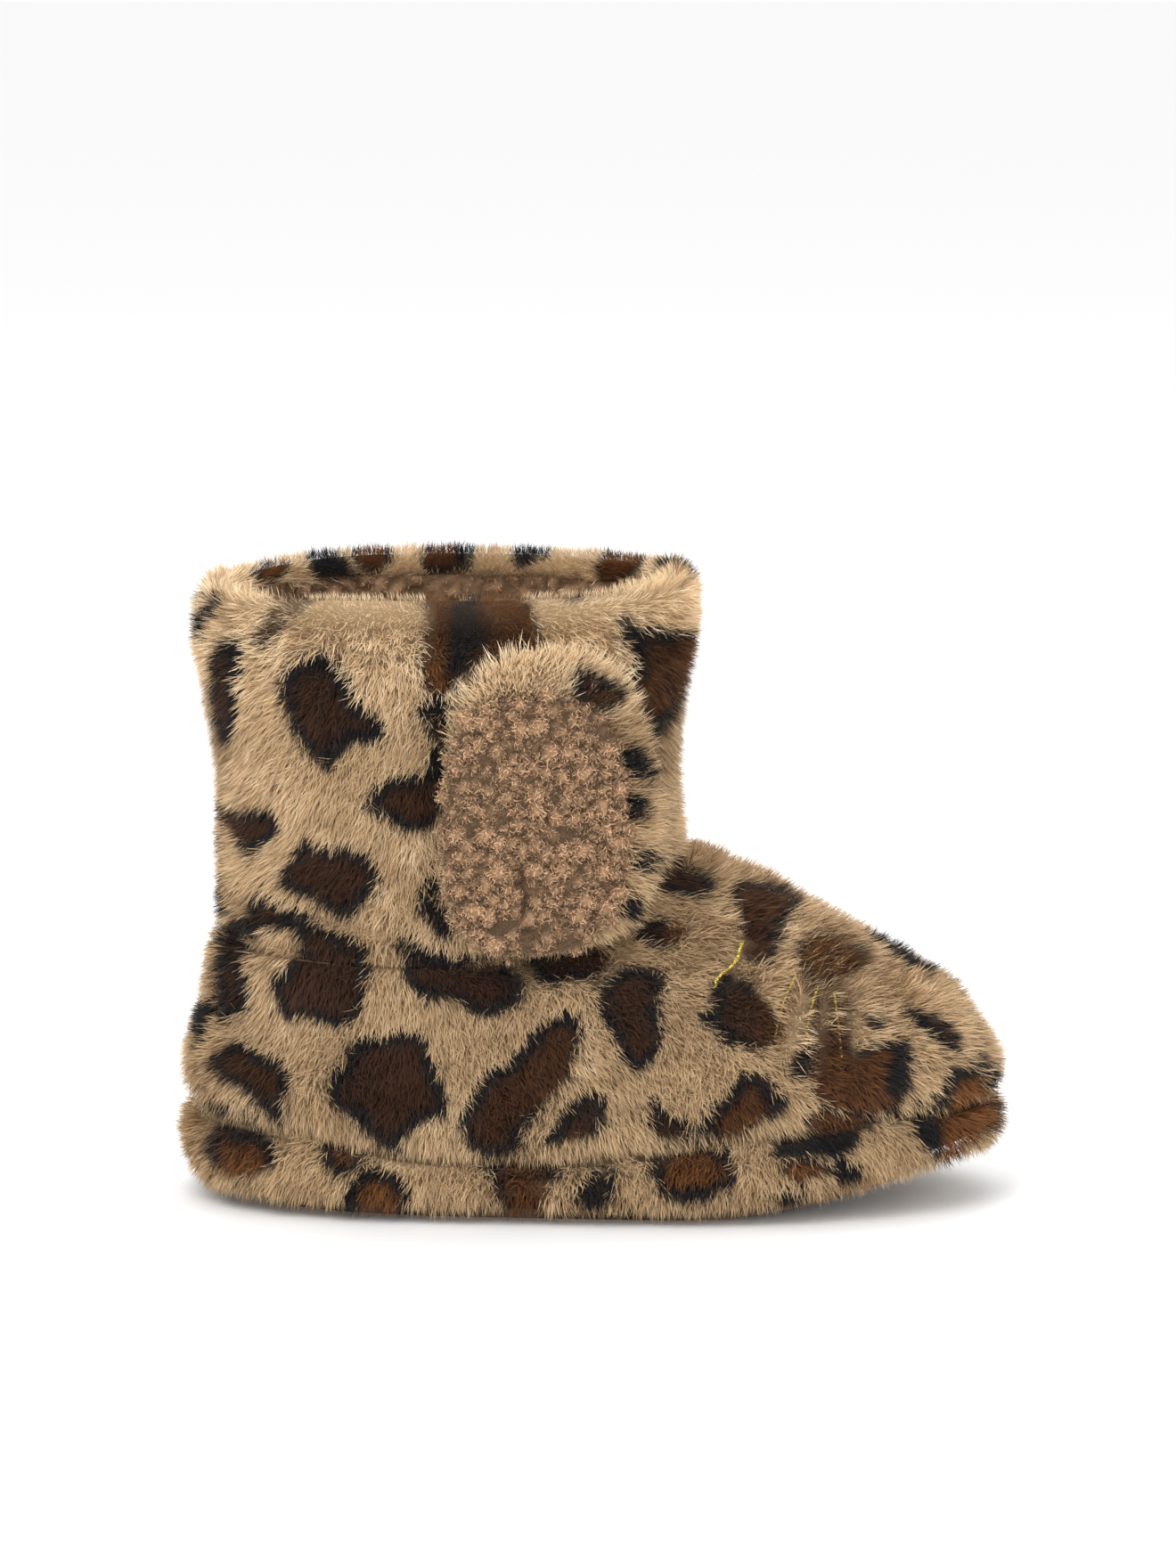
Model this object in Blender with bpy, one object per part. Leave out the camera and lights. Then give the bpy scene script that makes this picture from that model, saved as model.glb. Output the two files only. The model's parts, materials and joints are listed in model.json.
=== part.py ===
"""Plush bootie slipper with two ears, built as a maker would put it together.

Frame: metres, +X to the toe, +Z up, the shoe's own right side at -Y.
The origin is on the floor, half way along the shoe and on its centre line.
The solids hold the dense body of the pile: only loose hair tips would stand outside them.
"""

import math
from typing import NamedTuple

import bmesh
import bpy
from mathutils import Vector

# Sizes of the whole shoe
LENGTH = 0.264
BALL_WIDTH = 0.108
INSTEP_HEIGHT = 0.114
SHAFT_TOP = 0.203
SHAFT_LENGTH = 0.158
SHAFT_WIDTH = 0.112
SHAFT_SET_IN = 0.006
RIM_BACK_DIP = 0.005

# Sole
OUTSOLE_THICKNESS = 0.003
OUTSOLE_MARGIN = 0.001
FOAM_THICKNESS = 0.012
INSOLE_THICKNESS = 0.004
INSOLE_CLEARANCE = 0.001
TOE_SPRING = 0.012
ROLL_START = 0.12
ROLL_POWER = 1.5
SIDE_UNDERCUT = 0.012
HEEL_UNDERCUT = 0.023
TOE_UNDERCUT = 0.023
UNDERCUT_FULLNESS = 0.8
WAIST_DEPTH = 0.003
WAIST_PLACE = -0.10
WAIST_REACH = 0.30

# Soft walls and the seams that pinch them
WALL = 0.008
SEAM_GAP = 0.0003
BAND_SEAM_DEPTH = 0.0028
ANKLE_SEAM_DEPTH = 0.0026
SEAM_ROLL = 0.007
ANKLE_BACK_HEIGHT = 0.090
ANKLE_SIDE_HEIGHT = 0.087
ANKLE_RISE_ENDS = (math.radians(12), math.radians(70))

# Ears
EAR_WIDTH = 0.072
EAR_HEIGHT = 0.100
EAR_THICKNESS = 0.007
EAR_FULLNESS = 2.7
EAR_TOP_TAPER = 0.16
EAR_CENTRE_AHEAD = 0.032
EAR_BEND_RADIUS = 0.110
EAR_LIFT = 0.0005
EAR_ABOVE_SEAM = 0.001
LINING_WIDTH = 0.061
LINING_HEIGHT = 0.086
LINING_THICKNESS = 0.006
LINING_TOP_TAPER = 0.03
LINING_SET_BACK = 0.0035
LINING_ABOVE_BASE = 0.001

# Fineness of the meshes
HALF_COLUMNS = 30
EAR_COLUMNS = 32
FOOT_ROWS = (0, 0.04, 0.09, 0.16, 0.25, 0.35, 0.45, 0.55, 0.65, 0.75, 0.84, 0.91, 0.96, 1)
SHAFT_ROWS = (0, 0.04, 0.09, 0.18, 0.32, 0.48, 0.64, 0.78, 0.90, 1)
BAND_TURNS = (0, 25, 50, 70, 90)
BAND_ROWS = (0.45, 0.75, 1)
RIM_TURNS = (36, 72, 108, 144)
SEAM_PASSES = 4
FIT_POWER = 4
TOUCH_LEVELS = 12
TOUCH_STEPS = 8
SMOOTH_ANGLE = math.radians(50)

HEEL_X = -LENGTH / 2
SHAFT_BACK = HEEL_X + SHAFT_SET_IN


class Section(NamedTuple):
    """A level section: two superellipse halves that meet at its widest place."""

    height: float
    back: float
    front: float
    half_width: float
    widest: float
    front_fullness: float
    back_fullness: float


# Foot: heights are shares of INSTEP_HEIGHT, places along the shoe are shares of LENGTH,
# and half widths are shares of half the BALL_WIDTH.
FOOT_SECTIONS = [
    Section(0.00, -0.500, 0.500, 0.985, 0.100, 2.35, 2.70),
    Section(0.30, -0.500, 0.500, 1.000, 0.100, 2.35, 2.70),
    Section(0.40, -0.500, 0.500, 1.000, 0.090, 2.35, 2.65),
    Section(0.48, -0.492, 0.480, 0.990, 0.070, 2.30, 2.55),
    Section(0.55, -0.482, 0.458, 0.975, 0.040, 2.20, 2.45),
    Section(0.61, -0.475, 0.435, 0.960, 0.000, 2.10, 2.40),
    Section(0.67, -0.472, 0.397, 0.950, -0.050, 1.95, 2.40),
    Section(0.74, -0.470, 0.348, 0.935, -0.100, 1.75, 2.40),
    Section(0.80, -0.464, 0.298, 0.925, -0.130, 1.60, 2.40),
    Section(0.87, -0.459, 0.252, 0.915, -0.150, 1.40, 2.40),
    Section(0.93, -0.453, 0.197, 0.910, -0.162, 1.27, 2.40),
    Section(0.97, -0.450, 0.155, 0.910, -0.168, 1.22, 2.40),
    Section(1.00, -0.448, 0.112, 0.910, -0.170, 1.20, 2.40),
]

# Shaft: heights are shares of the way from INSTEP_HEIGHT to SHAFT_TOP, places along the shoe
# are shares of SHAFT_LENGTH measured from SHAFT_BACK, and half widths of half the SHAFT_WIDTH.
# The first row lies under the throat, where the shaft's sides reach down to the ankle seam.
SHAFT_SECTIONS = [
    Section(-0.35, 0.020, 0.978, 0.900, 0.500, 2.30, 2.40),
    Section(0.00, 0.045, 0.978, 0.880, 0.500, 2.30, 2.40),
    Section(0.10, 0.041, 0.974, 0.890, 0.500, 2.35, 2.40),
    Section(0.35, 0.034, 0.970, 0.915, 0.495, 2.35, 2.35),
    Section(0.55, 0.012, 0.978, 0.950, 0.490, 2.35, 2.35),
    Section(0.72, 0.004, 0.990, 0.980, 0.490, 2.35, 2.35),
    Section(0.85, 0.000, 1.000, 1.000, 0.490, 2.30, 2.30),
    Section(1.00, 0.018, 0.990, 0.985, 0.490, 2.30, 2.30),
]


class BandPoint(NamedTuple):
    """Where the plush sole band ends and the foot begins, seen from the side."""

    place: float
    height: float


# Places are shares of LENGTH and heights are shares of INSTEP_HEIGHT.
BAND_SEAM = [
    BandPoint(-0.50, 0.290),
    BandPoint(-0.35, 0.255),
    BandPoint(-0.20, 0.205),
    BandPoint(-0.06, 0.190),
    BandPoint(0.08, 0.235),
    BandPoint(0.24, 0.280),
    BandPoint(0.38, 0.315),
    BandPoint(0.50, 0.310),
]


class EdgePoint(NamedTuple):
    """A point of a soft pad's rounded edge, from the middle of its back to its front."""

    size: float
    thickness: float


# Sizes are shares of the pad's outline, and thicknesses are shares of the pad's thickness.
PAD_EDGE = [
    EdgePoint(0.33, 0.00),
    EdgePoint(0.66, 0.00),
    EdgePoint(0.88, 0.00),
    EdgePoint(0.96, 0.12),
    EdgePoint(1.00, 0.45),
    EdgePoint(0.97, 0.75),
    EdgePoint(0.88, 0.93),
    EdgePoint(0.66, 1.00),
    EdgePoint(0.33, 1.00),
]


class Material(NamedTuple):
    """Colour, roughness and metallic value of one of the slipper's cloths."""

    name: str
    colour: tuple
    roughness: float
    metallic: float


LEOPARD_PLUSH = Material("leopard_plush", (0.40, 0.29, 0.17, 1.0), 0.92, 0.0)
BROWN_SHERPA = Material("brown_sherpa", (0.30, 0.18, 0.11, 1.0), 0.95, 0.0)
SOLE_TEXTILE = Material("sole_textile", (0.12, 0.075, 0.045, 1.0), 0.85, 0.0)


def clear_scene():
    """Removes what the startup scene holds."""
    for thing in list(bpy.data.objects):
        bpy.data.objects.remove(thing, do_unlink=True)


def eased(places, values, at):
    """A smooth curve through a table's values that never swings past them."""
    if at <= places[0]:
        return values[0]
    if at >= places[-1]:
        return values[-1]
    steps = [b - a for a, b in zip(places, places[1:])]
    slopes = [(b - a) / step for a, b, step in zip(values, values[1:], steps)]
    tangents = [slopes[0]]
    for before, after in zip(slopes, slopes[1:]):
        level = before * after <= 0
        tangents.append(0.0 if level else 2 * before * after / (before + after))
    tangents.append(slopes[-1])
    k = max(i for i, place in enumerate(places[:-1]) if place <= at)
    t = (at - places[k]) / steps[k]
    return (
        values[k] * (1 + 2 * t) * (1 - t) ** 2
        + values[k + 1] * t * t * (3 - 2 * t)
        + steps[k] * (tangents[k] * t * (1 - t) ** 2 - tangents[k + 1] * t * t * (1 - t))
    )


def sized(sections, base, rise, start, length, width):
    """A table of shares as sections in metres."""
    return [
        Section(
            base + s.height * rise,
            start + s.back * length,
            start + s.front * length,
            s.half_width * width / 2,
            start + s.widest * length,
            s.front_fullness,
            s.back_fullness,
        )
        for s in sections
    ]


FOOT = sized(FOOT_SECTIONS, 0, INSTEP_HEIGHT, 0, LENGTH, BALL_WIDTH)
SHAFT = sized(
    SHAFT_SECTIONS,
    INSTEP_HEIGHT,
    SHAFT_TOP - INSTEP_HEIGHT,
    SHAFT_BACK,
    SHAFT_LENGTH,
    SHAFT_WIDTH,
)


def section_at(sections, height):
    """The level section of the foot or the shaft at a height above the floor."""
    heights = [s.height for s in sections]
    return Section(*(eased(heights, column, height) for column in zip(*sections)))


def half_of(section, ahead):
    """The reach and fullness of a section's half in front of or behind its widest place."""
    if ahead:
        return section.front - section.widest, section.front_fullness
    return section.widest - section.back, section.back_fullness


def waist_dip(x, height):
    """How much the arch pulls each side in. It fades out above the band."""
    along = (x - WAIST_PLACE * LENGTH) / (WAIST_REACH * LENGTH)
    up = height / (INSTEP_HEIGHT / 2)
    return WAIST_DEPTH * max(0.0, 1 - along**2) ** 2 * max(0.0, 1 - up**2)


def outline_point(sections, angle, height):
    """The outer surface's left side at a height, at an angle from 0 at the toe to pi."""
    section = section_at(sections, height)
    reach, fullness = half_of(section, math.cos(angle) >= 0)
    along = math.copysign(abs(math.cos(angle)) ** (2 / fullness), math.cos(angle))
    across = max(0.0, math.sin(angle)) ** (2 / fullness)
    x = section.widest + reach * along
    return Vector((x, (section.half_width - waist_dip(x, height)) * across, height))


def angle_of(sections, x, height):
    """The angle at which the outline at a height has this place along the shoe."""
    section = section_at(sections, height)
    reach, fullness = half_of(section, x >= section.widest)
    along = min(1.0, abs(x - section.widest) / reach) ** (fullness / 2)
    return math.acos(along) if x >= section.widest else math.pi - math.acos(along)


def half_width_at(sections, x, height):
    """The half width of the outer surface at a place along the shoe."""
    section = section_at(sections, height)
    reach, fullness = half_of(section, x >= section.widest)
    share = min(1.0, abs(x - section.widest) / reach)
    return section.half_width * (1 - share**fullness) ** (1 / fullness)


def sole_rise(x):
    """The height of the outsole's underside: flat, then rolling up to the toe."""
    start = ROLL_START * LENGTH
    share = max(0.0, x - start) / (LENGTH / 2 - TOE_UNDERCUT - start)
    return TOE_SPRING * share**ROLL_POWER


def band_seam_height(x):
    """The height of the seam between the band and the foot."""
    places = [p.place * LENGTH for p in BAND_SEAM]
    heights = [p.height * INSTEP_HEIGHT for p in BAND_SEAM]
    return eased(places, heights, x)


def band_seam_at(angle):
    """The band seam's height at an angle, which is where the outline meets it."""
    height = band_seam_height(0)
    for _ in range(SEAM_PASSES):
        height = band_seam_height(outline_point(FOOT, angle, height).x)
    return height


def ankle_seam_at(angle):
    """The ankle seam climbs from the side to the throat and a little to the back."""
    low, high = ANKLE_RISE_ENDS
    share = min(1.0, max(0.0, (high - angle) / (high - low)))
    climb = share * share * (3 - 2 * share)
    rear = max(0.0, -math.cos(angle)) ** 2
    return (
        ANKLE_SIDE_HEIGHT
        + (INSTEP_HEIGHT - ANKLE_SIDE_HEIGHT) * climb
        + (ANKLE_BACK_HEIGHT - ANKLE_SIDE_HEIGHT) * rear
    )


def rim_height_at(angle):
    """The height of the shaft's rim, which dips at the back of the leg."""
    return SHAFT_TOP - RIM_BACK_DIP * max(0.0, -math.cos(angle)) ** 3


def pinch(distance):
    """The share of a seam's depth at a distance from it, with a soft roll beside it."""
    return max(0.0, 1 - (distance / SEAM_ROLL) ** 2) ** 2


def ankle_depth(angle):
    """The throat is drawn to a corner by its own shape, so the pinch fades out there."""
    return ANKLE_SEAM_DEPTH * (1 - max(0.0, math.cos(angle)) ** 2)


ANGLES = [math.pi * k / HALF_COLUMNS for k in range(HALF_COLUMNS + 1)]
BAND_SEAMS = [band_seam_at(angle) for angle in ANGLES]
ANKLE_SEAMS = [ankle_seam_at(angle) for angle in ANGLES]


def mirrored(values):
    """Values for the left side, from toe to heel, followed by the same for the right."""
    return list(values) + list(values[-2:0:-1])


def whole_ring(half):
    """The left side's points and their mirror images, as one closed ring."""
    right = [Vector((p.x, -p.y, p.z)) for p in half[-2:0:-1]]
    return [p.copy() for p in half] + right


def pulled_in(ring, distances):
    """A level ring with each point moved towards the inside by its own distance."""
    moved = []
    for k, point in enumerate(ring):
        ahead, behind = ring[(k + 1) % len(ring)], ring[k - 1]
        along = (ahead - behind).xy.normalized()
        inwards = Vector((-along.y, along.x, 0))
        moved.append(point + inwards * distances[k])
    return moved


def band_rows():
    """Rings of the padded band's outer side, from the outsole's edge to its seam."""
    base = whole_ring([outline_point(FOOT, a, z) for a, z in zip(ANGLES, BAND_SEAMS)])
    seam = mirrored(BAND_SEAMS)
    undercut = []
    for angle in mirrored(ANGLES):
        end = TOE_UNDERCUT if math.cos(angle) > 0 else HEEL_UNDERCUT
        undercut.append(SIDE_UNDERCUT + (end - SIDE_UNDERCUT) * math.cos(angle) ** 2)
    edge = pulled_in(base, undercut)
    lowest = [sole_rise(p.x) + OUTSOLE_THICKNESS + SEAM_GAP for p in edge]
    middle = [(low + high) / 2 for low, high in zip(lowest, seam)]
    rows = []
    for turn in BAND_TURNS:
        lift = 1 - math.cos(math.radians(turn))
        share = 1 - math.sin(math.radians(turn)) ** UNDERCUT_FULLNESS
        ring = pulled_in(base, [share * depth for depth in undercut])
        for k, point in enumerate(ring):
            point.z = lowest[k] + (middle[k] - lowest[k]) * lift
        rows.append(ring)
    for share in BAND_ROWS:
        heights = [mid + (top - mid) * share for mid, top in zip(middle, seam)]
        depths = [
            BAND_SEAM_DEPTH * pinch(top - height) for top, height in zip(seam, heights)
        ]
        ring = pulled_in(base, depths)
        for k, point in enumerate(ring):
            point.z = heights[k]
        rows.append(ring)
    return rows


def foot_point(angle, low, high, share):
    """The foot's surface on the way from the band seam to where the shaft is sewn on."""
    sewn = outline_point(SHAFT, angle, high)
    drift = angle_of(FOOT, sewn.x, high) - angle
    missed = sewn - outline_point(FOOT, angle + drift, high)
    on_foot = outline_point(FOOT, angle + drift * share, low + (high - low) * share)
    return on_foot + missed * share**FIT_POWER


def foot_rows():
    """Rings of the foot's outer side, from the band seam to the ankle seam."""
    rows = []
    for share in FOOT_ROWS:
        half, depths = [], []
        for angle, low, high in zip(ANGLES, BAND_SEAMS, ANKLE_SEAMS):
            half.append(foot_point(angle, low, high, share))
            up = (high - low) * share
            depths.append(
                BAND_SEAM_DEPTH * pinch(up) + ankle_depth(angle) * pinch(high - low - up)
            )
        rows.append(pulled_in(whole_ring(half), mirrored(depths)))
    return rows


def shaft_rows():
    """Rings of the shaft's outer side, from the ankle seam to where the rim turns over."""
    rows = []
    for share in SHAFT_ROWS:
        half, depths = [], []
        for angle, low in zip(ANGLES, ANKLE_SEAMS):
            up = (rim_height_at(angle) - WALL / 2 - low) * share
            half.append(outline_point(SHAFT, angle, low + up))
            depths.append(ankle_depth(angle) * pinch(up))
        rows.append(pulled_in(whole_ring(half), mirrored(depths)))
    return rows


def normals_of(rows):
    """The outward normal at each point of a stack of rings."""
    normals = []
    for r, ring in enumerate(rows):
        above, below = rows[min(r + 1, len(rows) - 1)], rows[max(r - 1, 0)]
        line = []
        for k in range(len(ring)):
            around = ring[(k + 1) % len(ring)] - ring[k - 1]
            up = above[k] - below[k]
            line.append(around.cross(up).normalized())
        normals.append(line)
    return normals


def trimmed(rows, first, last):
    """The rows with an end row moved half a seam gap into the piece where it is sewn."""
    rows = [list(ring) for ring in rows]
    for end, inner, wanted in ((0, 1, first), (-1, -2, last)):
        if wanted:
            rows[end] = [
                point + (rows[inner][k] - point).normalized() * SEAM_GAP / 2
                for k, point in enumerate(rows[end])
            ]
    return rows


def skinned(rows, normals, depth):
    """The same rings moved inwards along their normals."""
    return [
        [point - normal * depth for point, normal in zip(ring, line)]
        for ring, line in zip(rows, normals)
    ]


def new_object(name, mesh_builder, material):
    """Turns a bmesh into a named, smooth shaded object with its own material."""
    bmesh.ops.recalc_face_normals(mesh_builder, faces=mesh_builder.faces)
    mesh = bpy.data.meshes.new(name)
    mesh_builder.to_mesh(mesh)
    mesh_builder.free()
    mesh.shade_smooth()
    mesh.set_sharp_from_angle(angle=SMOOTH_ANGLE)
    shaded = bpy.data.materials.new(name + "_" + material.name)
    shaded.use_nodes = True
    shader = shaded.node_tree.nodes["Principled BSDF"]
    shader.inputs["Base Color"].default_value = material.colour
    shader.inputs["Roughness"].default_value = material.roughness
    shader.inputs["Metallic"].default_value = material.metallic
    mesh.materials.append(shaded)
    thing = bpy.data.objects.new(name, mesh)
    bpy.context.scene.collection.objects.link(thing)
    return thing


def joined_rings(builder, rings, cyclic=False):
    """Faces between each ring and the next. A cyclic stack is a hollow wall.

    The closing faces start from another corner, so that they split along the same diagonal
    as the end faces of the piece that is sewn on there.
    """
    corners = [[builder.verts.new(point) for point in ring] for ring in rings]
    for low, high in zip(corners, corners[1:]):
        for k in range(len(low)):
            after = (k + 1) % len(low)
            builder.faces.new((low[k], low[after], high[after], high[k]))
    if cyclic:
        low, high = corners[-1], corners[0]
        for k in range(len(low)):
            after = (k + 1) % len(low)
            builder.faces.new((low[after], high[after], high[k], low[k]))
    return corners


def ladder_cap(builder, ring):
    """Closes a ring with strips across the shoe, so that it can bend along its length."""
    count = len(ring)
    builder.faces.new((ring[0], ring[1], ring[count - 1]))
    for k in range(1, count // 2 - 1):
        builder.faces.new((ring[k], ring[k + 1], ring[count - k - 1], ring[count - k]))
    builder.faces.new((ring[count // 2 - 1], ring[count // 2], ring[count // 2 + 1]))


def pole_cap(builder, ring, point):
    """Closes a ring with a fan to one point."""
    pole = builder.verts.new(point)
    for k, corner in enumerate(ring):
        builder.faces.new((corner, ring[(k + 1) % len(ring)], pole))


def build_foot_upper(rows, normals):
    """The foot: one hollow wall, open at the ankle and above the sole."""
    outer = trimmed(rows, first=True, last=True)
    inner = skinned(outer, normals, WALL)
    builder = bmesh.new()
    joined_rings(builder, outer + inner[::-1], cyclic=True)
    return new_object("foot_upper", builder, LEOPARD_PLUSH)


def build_shaft(rows, normals):
    """The shaft: one hollow tube whose rim is turned over in a half round."""
    outer = trimmed(rows, first=True, last=False)
    inner = skinned(outer, normals, WALL)
    rim = []
    for turn in RIM_TURNS:
        inwards = (1 - math.cos(math.radians(turn))) / 2
        lift = math.sin(math.radians(turn)) * WALL / 2
        rim.append(
            [
                out.lerp(into, inwards) + Vector((0, 0, lift))
                for out, into in zip(outer[-1], inner[-1])
            ]
        )
    builder = bmesh.new()
    joined_rings(builder, outer + rim + inner[::-1], cyclic=True)
    return new_object("shaft", builder, LEOPARD_PLUSH)


def foam_floor(inner_seam):
    """The ring where the band's inner side meets the foam under the foot."""
    floor = pulled_in(inner_seam, [INSOLE_CLEARANCE] * len(inner_seam))
    for point in floor:
        point.z = sole_rise(point.x) + OUTSOLE_THICKNESS + SEAM_GAP + FOAM_THICKNESS
    return floor


def build_sole_band(outer, inner_seam, floor):
    """The foam sole with its plush side: a shallow cup that carries the foot."""
    builder = bmesh.new()
    rings = joined_rings(builder, outer + [inner_seam, floor])
    ladder_cap(builder, rings[0])
    ladder_cap(builder, rings[-1])
    return new_object("sole_band", builder, LEOPARD_PLUSH)


def build_plate(name, outline, thickness, material):
    """A sheet of even thickness that follows the sole's rise."""
    top = [point + Vector((0, 0, thickness)) for point in outline]
    builder = bmesh.new()
    rings = joined_rings(builder, [outline, top])
    ladder_cap(builder, rings[0])
    ladder_cap(builder, rings[-1])
    return new_object(name, builder, material)


def build_outsole(band_edge):
    """The textile sole under the band, flat from the heel to the ball."""
    outline = pulled_in(band_edge, [OUTSOLE_MARGIN] * len(band_edge))
    for point in outline:
        point.z = sole_rise(point.x)
    return build_plate("outsole", outline, OUTSOLE_THICKNESS, SOLE_TEXTILE)


def build_insole(floor):
    """The sherpa insole on the foam, just clear of the walls."""
    outline = pulled_in(floor, [INSOLE_CLEARANCE] * len(floor))
    for point in outline:
        rise = sole_rise(point.x) + OUTSOLE_THICKNESS + FOAM_THICKNESS
        point.z = rise + 2 * SEAM_GAP
    return build_plate("insole", outline, INSOLE_THICKNESS, BROWN_SHERPA)


EAR_CENTRE_X = SHAFT_BACK + SHAFT_LENGTH / 2 + EAR_CENTRE_AHEAD
EAR_BASE_Z = ANKLE_SIDE_HEIGHT + EAR_ABOVE_SEAM


def side_bulge(offset):
    """How far an ear falls away from its own middle, since it is a little bent."""
    return offset**2 / (2 * EAR_BEND_RADIUS)


def ear_lean():
    """How much the shaft's side turns in towards the toe, for each metre along an ear."""
    middle = EAR_BASE_Z + EAR_HEIGHT / 2
    behind = half_width_at(SHAFT, EAR_CENTRE_X - EAR_WIDTH / 4, middle)
    ahead = half_width_at(SHAFT, EAR_CENTRE_X + EAR_WIDTH / 4, middle)
    return (behind - ahead) / (EAR_WIDTH / 2)


def touching_line():
    """The ear's back at its middle, as a height-free part and a slope, from the shaft's side.

    Upwards the ear is straight. It bends less than the shaft and clears all of its side.
    """
    lean = ear_lean()
    touching = {}
    steps = range(-TOUCH_STEPS, TOUCH_STEPS + 1)
    offsets = [EAR_WIDTH / 2 * step / TOUCH_STEPS for step in steps]
    for level in range(TOUCH_LEVELS + 1):
        height = EAR_BASE_Z + EAR_HEIGHT * level / TOUCH_LEVELS
        touching[height] = max(
            half_width_at(SHAFT, EAR_CENTRE_X + offset, height)
            + lean * offset
            + side_bulge(offset)
            for offset in offsets
        )
    slope = (touching[max(touching)] - touching[min(touching)]) / EAR_HEIGHT
    start = max(value - slope * height for height, value in touching.items())
    return start, slope


EAR_LEAN = ear_lean()
EAR_START, EAR_SLOPE = touching_line()


def ear_seat(x, height):
    """The distance from the centre line to an ear's back."""
    offset = x - EAR_CENTRE_X
    middle = EAR_START + EAR_SLOPE * height
    return middle - EAR_LEAN * offset - side_bulge(offset) + EAR_LIFT


def ear_outline(width, height, top_taper):
    """Corners of an ear as (forward, up) from the middle of its base."""
    corners = []
    for k in range(EAR_COLUMNS):
        turn = math.tau * k / EAR_COLUMNS
        power = 2 / EAR_FULLNESS
        across = math.copysign(abs(math.cos(turn)) ** power, math.cos(turn))
        up = (1 + math.copysign(abs(math.sin(turn)) ** power, math.sin(turn))) / 2
        corners.append((across * (1 - top_taper * up) * width / 2, up * height))
    return corners


def build_ear_pad(name, side, outline, thickness, base, lift, material):
    """A soft pad with a rounded edge that lies against the shaft.

    base is its lowest middle point as (x, z), and lift its back's distance from the seat.
    """
    middle = max(up for _, up in outline) / 2

    def ring(share, out):
        points = []
        for forward, up in outline:
            x = base[0] + forward * share
            z = base[1] + middle + (up - middle) * share
            points.append(Vector((x, side * (ear_seat(x, z) + lift + out), z)))
        return points

    rings = [ring(point.size, point.thickness * thickness) for point in PAD_EDGE]
    x, z = base[0], base[1] + middle
    seat = ear_seat(x, z) + lift
    builder = bmesh.new()
    corners = joined_rings(builder, rings)
    pole_cap(builder, corners[0], Vector((x, side * seat, z)))
    pole_cap(builder, corners[-1], Vector((x, side * (seat + thickness), z)))
    return new_object(name, builder, material)


def build_ear(label, side):
    """A plush ear with its sherpa front, sewn in at the ankle seam."""
    build_ear_pad(
        f"ear_{label}_plush",
        side,
        ear_outline(EAR_WIDTH, EAR_HEIGHT, EAR_TOP_TAPER),
        EAR_THICKNESS,
        (EAR_CENTRE_X, EAR_BASE_Z),
        0.0,
        LEOPARD_PLUSH,
    )
    build_ear_pad(
        f"ear_{label}_sherpa",
        side,
        ear_outline(LINING_WIDTH, LINING_HEIGHT, LINING_TOP_TAPER),
        LINING_THICKNESS,
        (EAR_CENTRE_X - LINING_SET_BACK, EAR_BASE_Z + LINING_ABOVE_BASE),
        EAR_THICKNESS + SEAM_GAP,
        BROWN_SHERPA,
    )


def main():
    clear_scene()
    band, foot, shaft = band_rows(), foot_rows(), shaft_rows()
    normals = normals_of(band + foot[1:] + shaft[1:])
    foot_start = len(band) - 1
    shaft_start = foot_start + len(foot) - 1
    build_foot_upper(foot, normals[foot_start : shaft_start + 1])
    build_shaft(shaft, normals[shaft_start:])

    band_side = trimmed(band, first=False, last=True)
    inner_seam = skinned(band_side[-1:], normals[foot_start : foot_start + 1], WALL)[0]
    floor = foam_floor(inner_seam)
    build_sole_band(band_side, inner_seam, floor)
    build_outsole(band[0])
    build_insole(floor)
    build_ear("right", -1)
    build_ear("left", 1)


main()
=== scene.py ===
"""Looks of the plush bootie slipper: printed fur, sherpa, gold thread and the studio.

Units are metres in the shoe's own frame: +X to the toe, +Z up, the shoe's right side at -Y.
"""

import itertools
import json
import math
import random
from typing import NamedTuple

import bmesh
import bpy
import numpy as np
from bpy.props import FloatProperty, FloatVectorProperty, IntProperty, PointerProperty
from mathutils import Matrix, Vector
from mathutils.bvhtree import BVHTree
from mathutils.noise import noise_vector, seed_set

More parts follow.
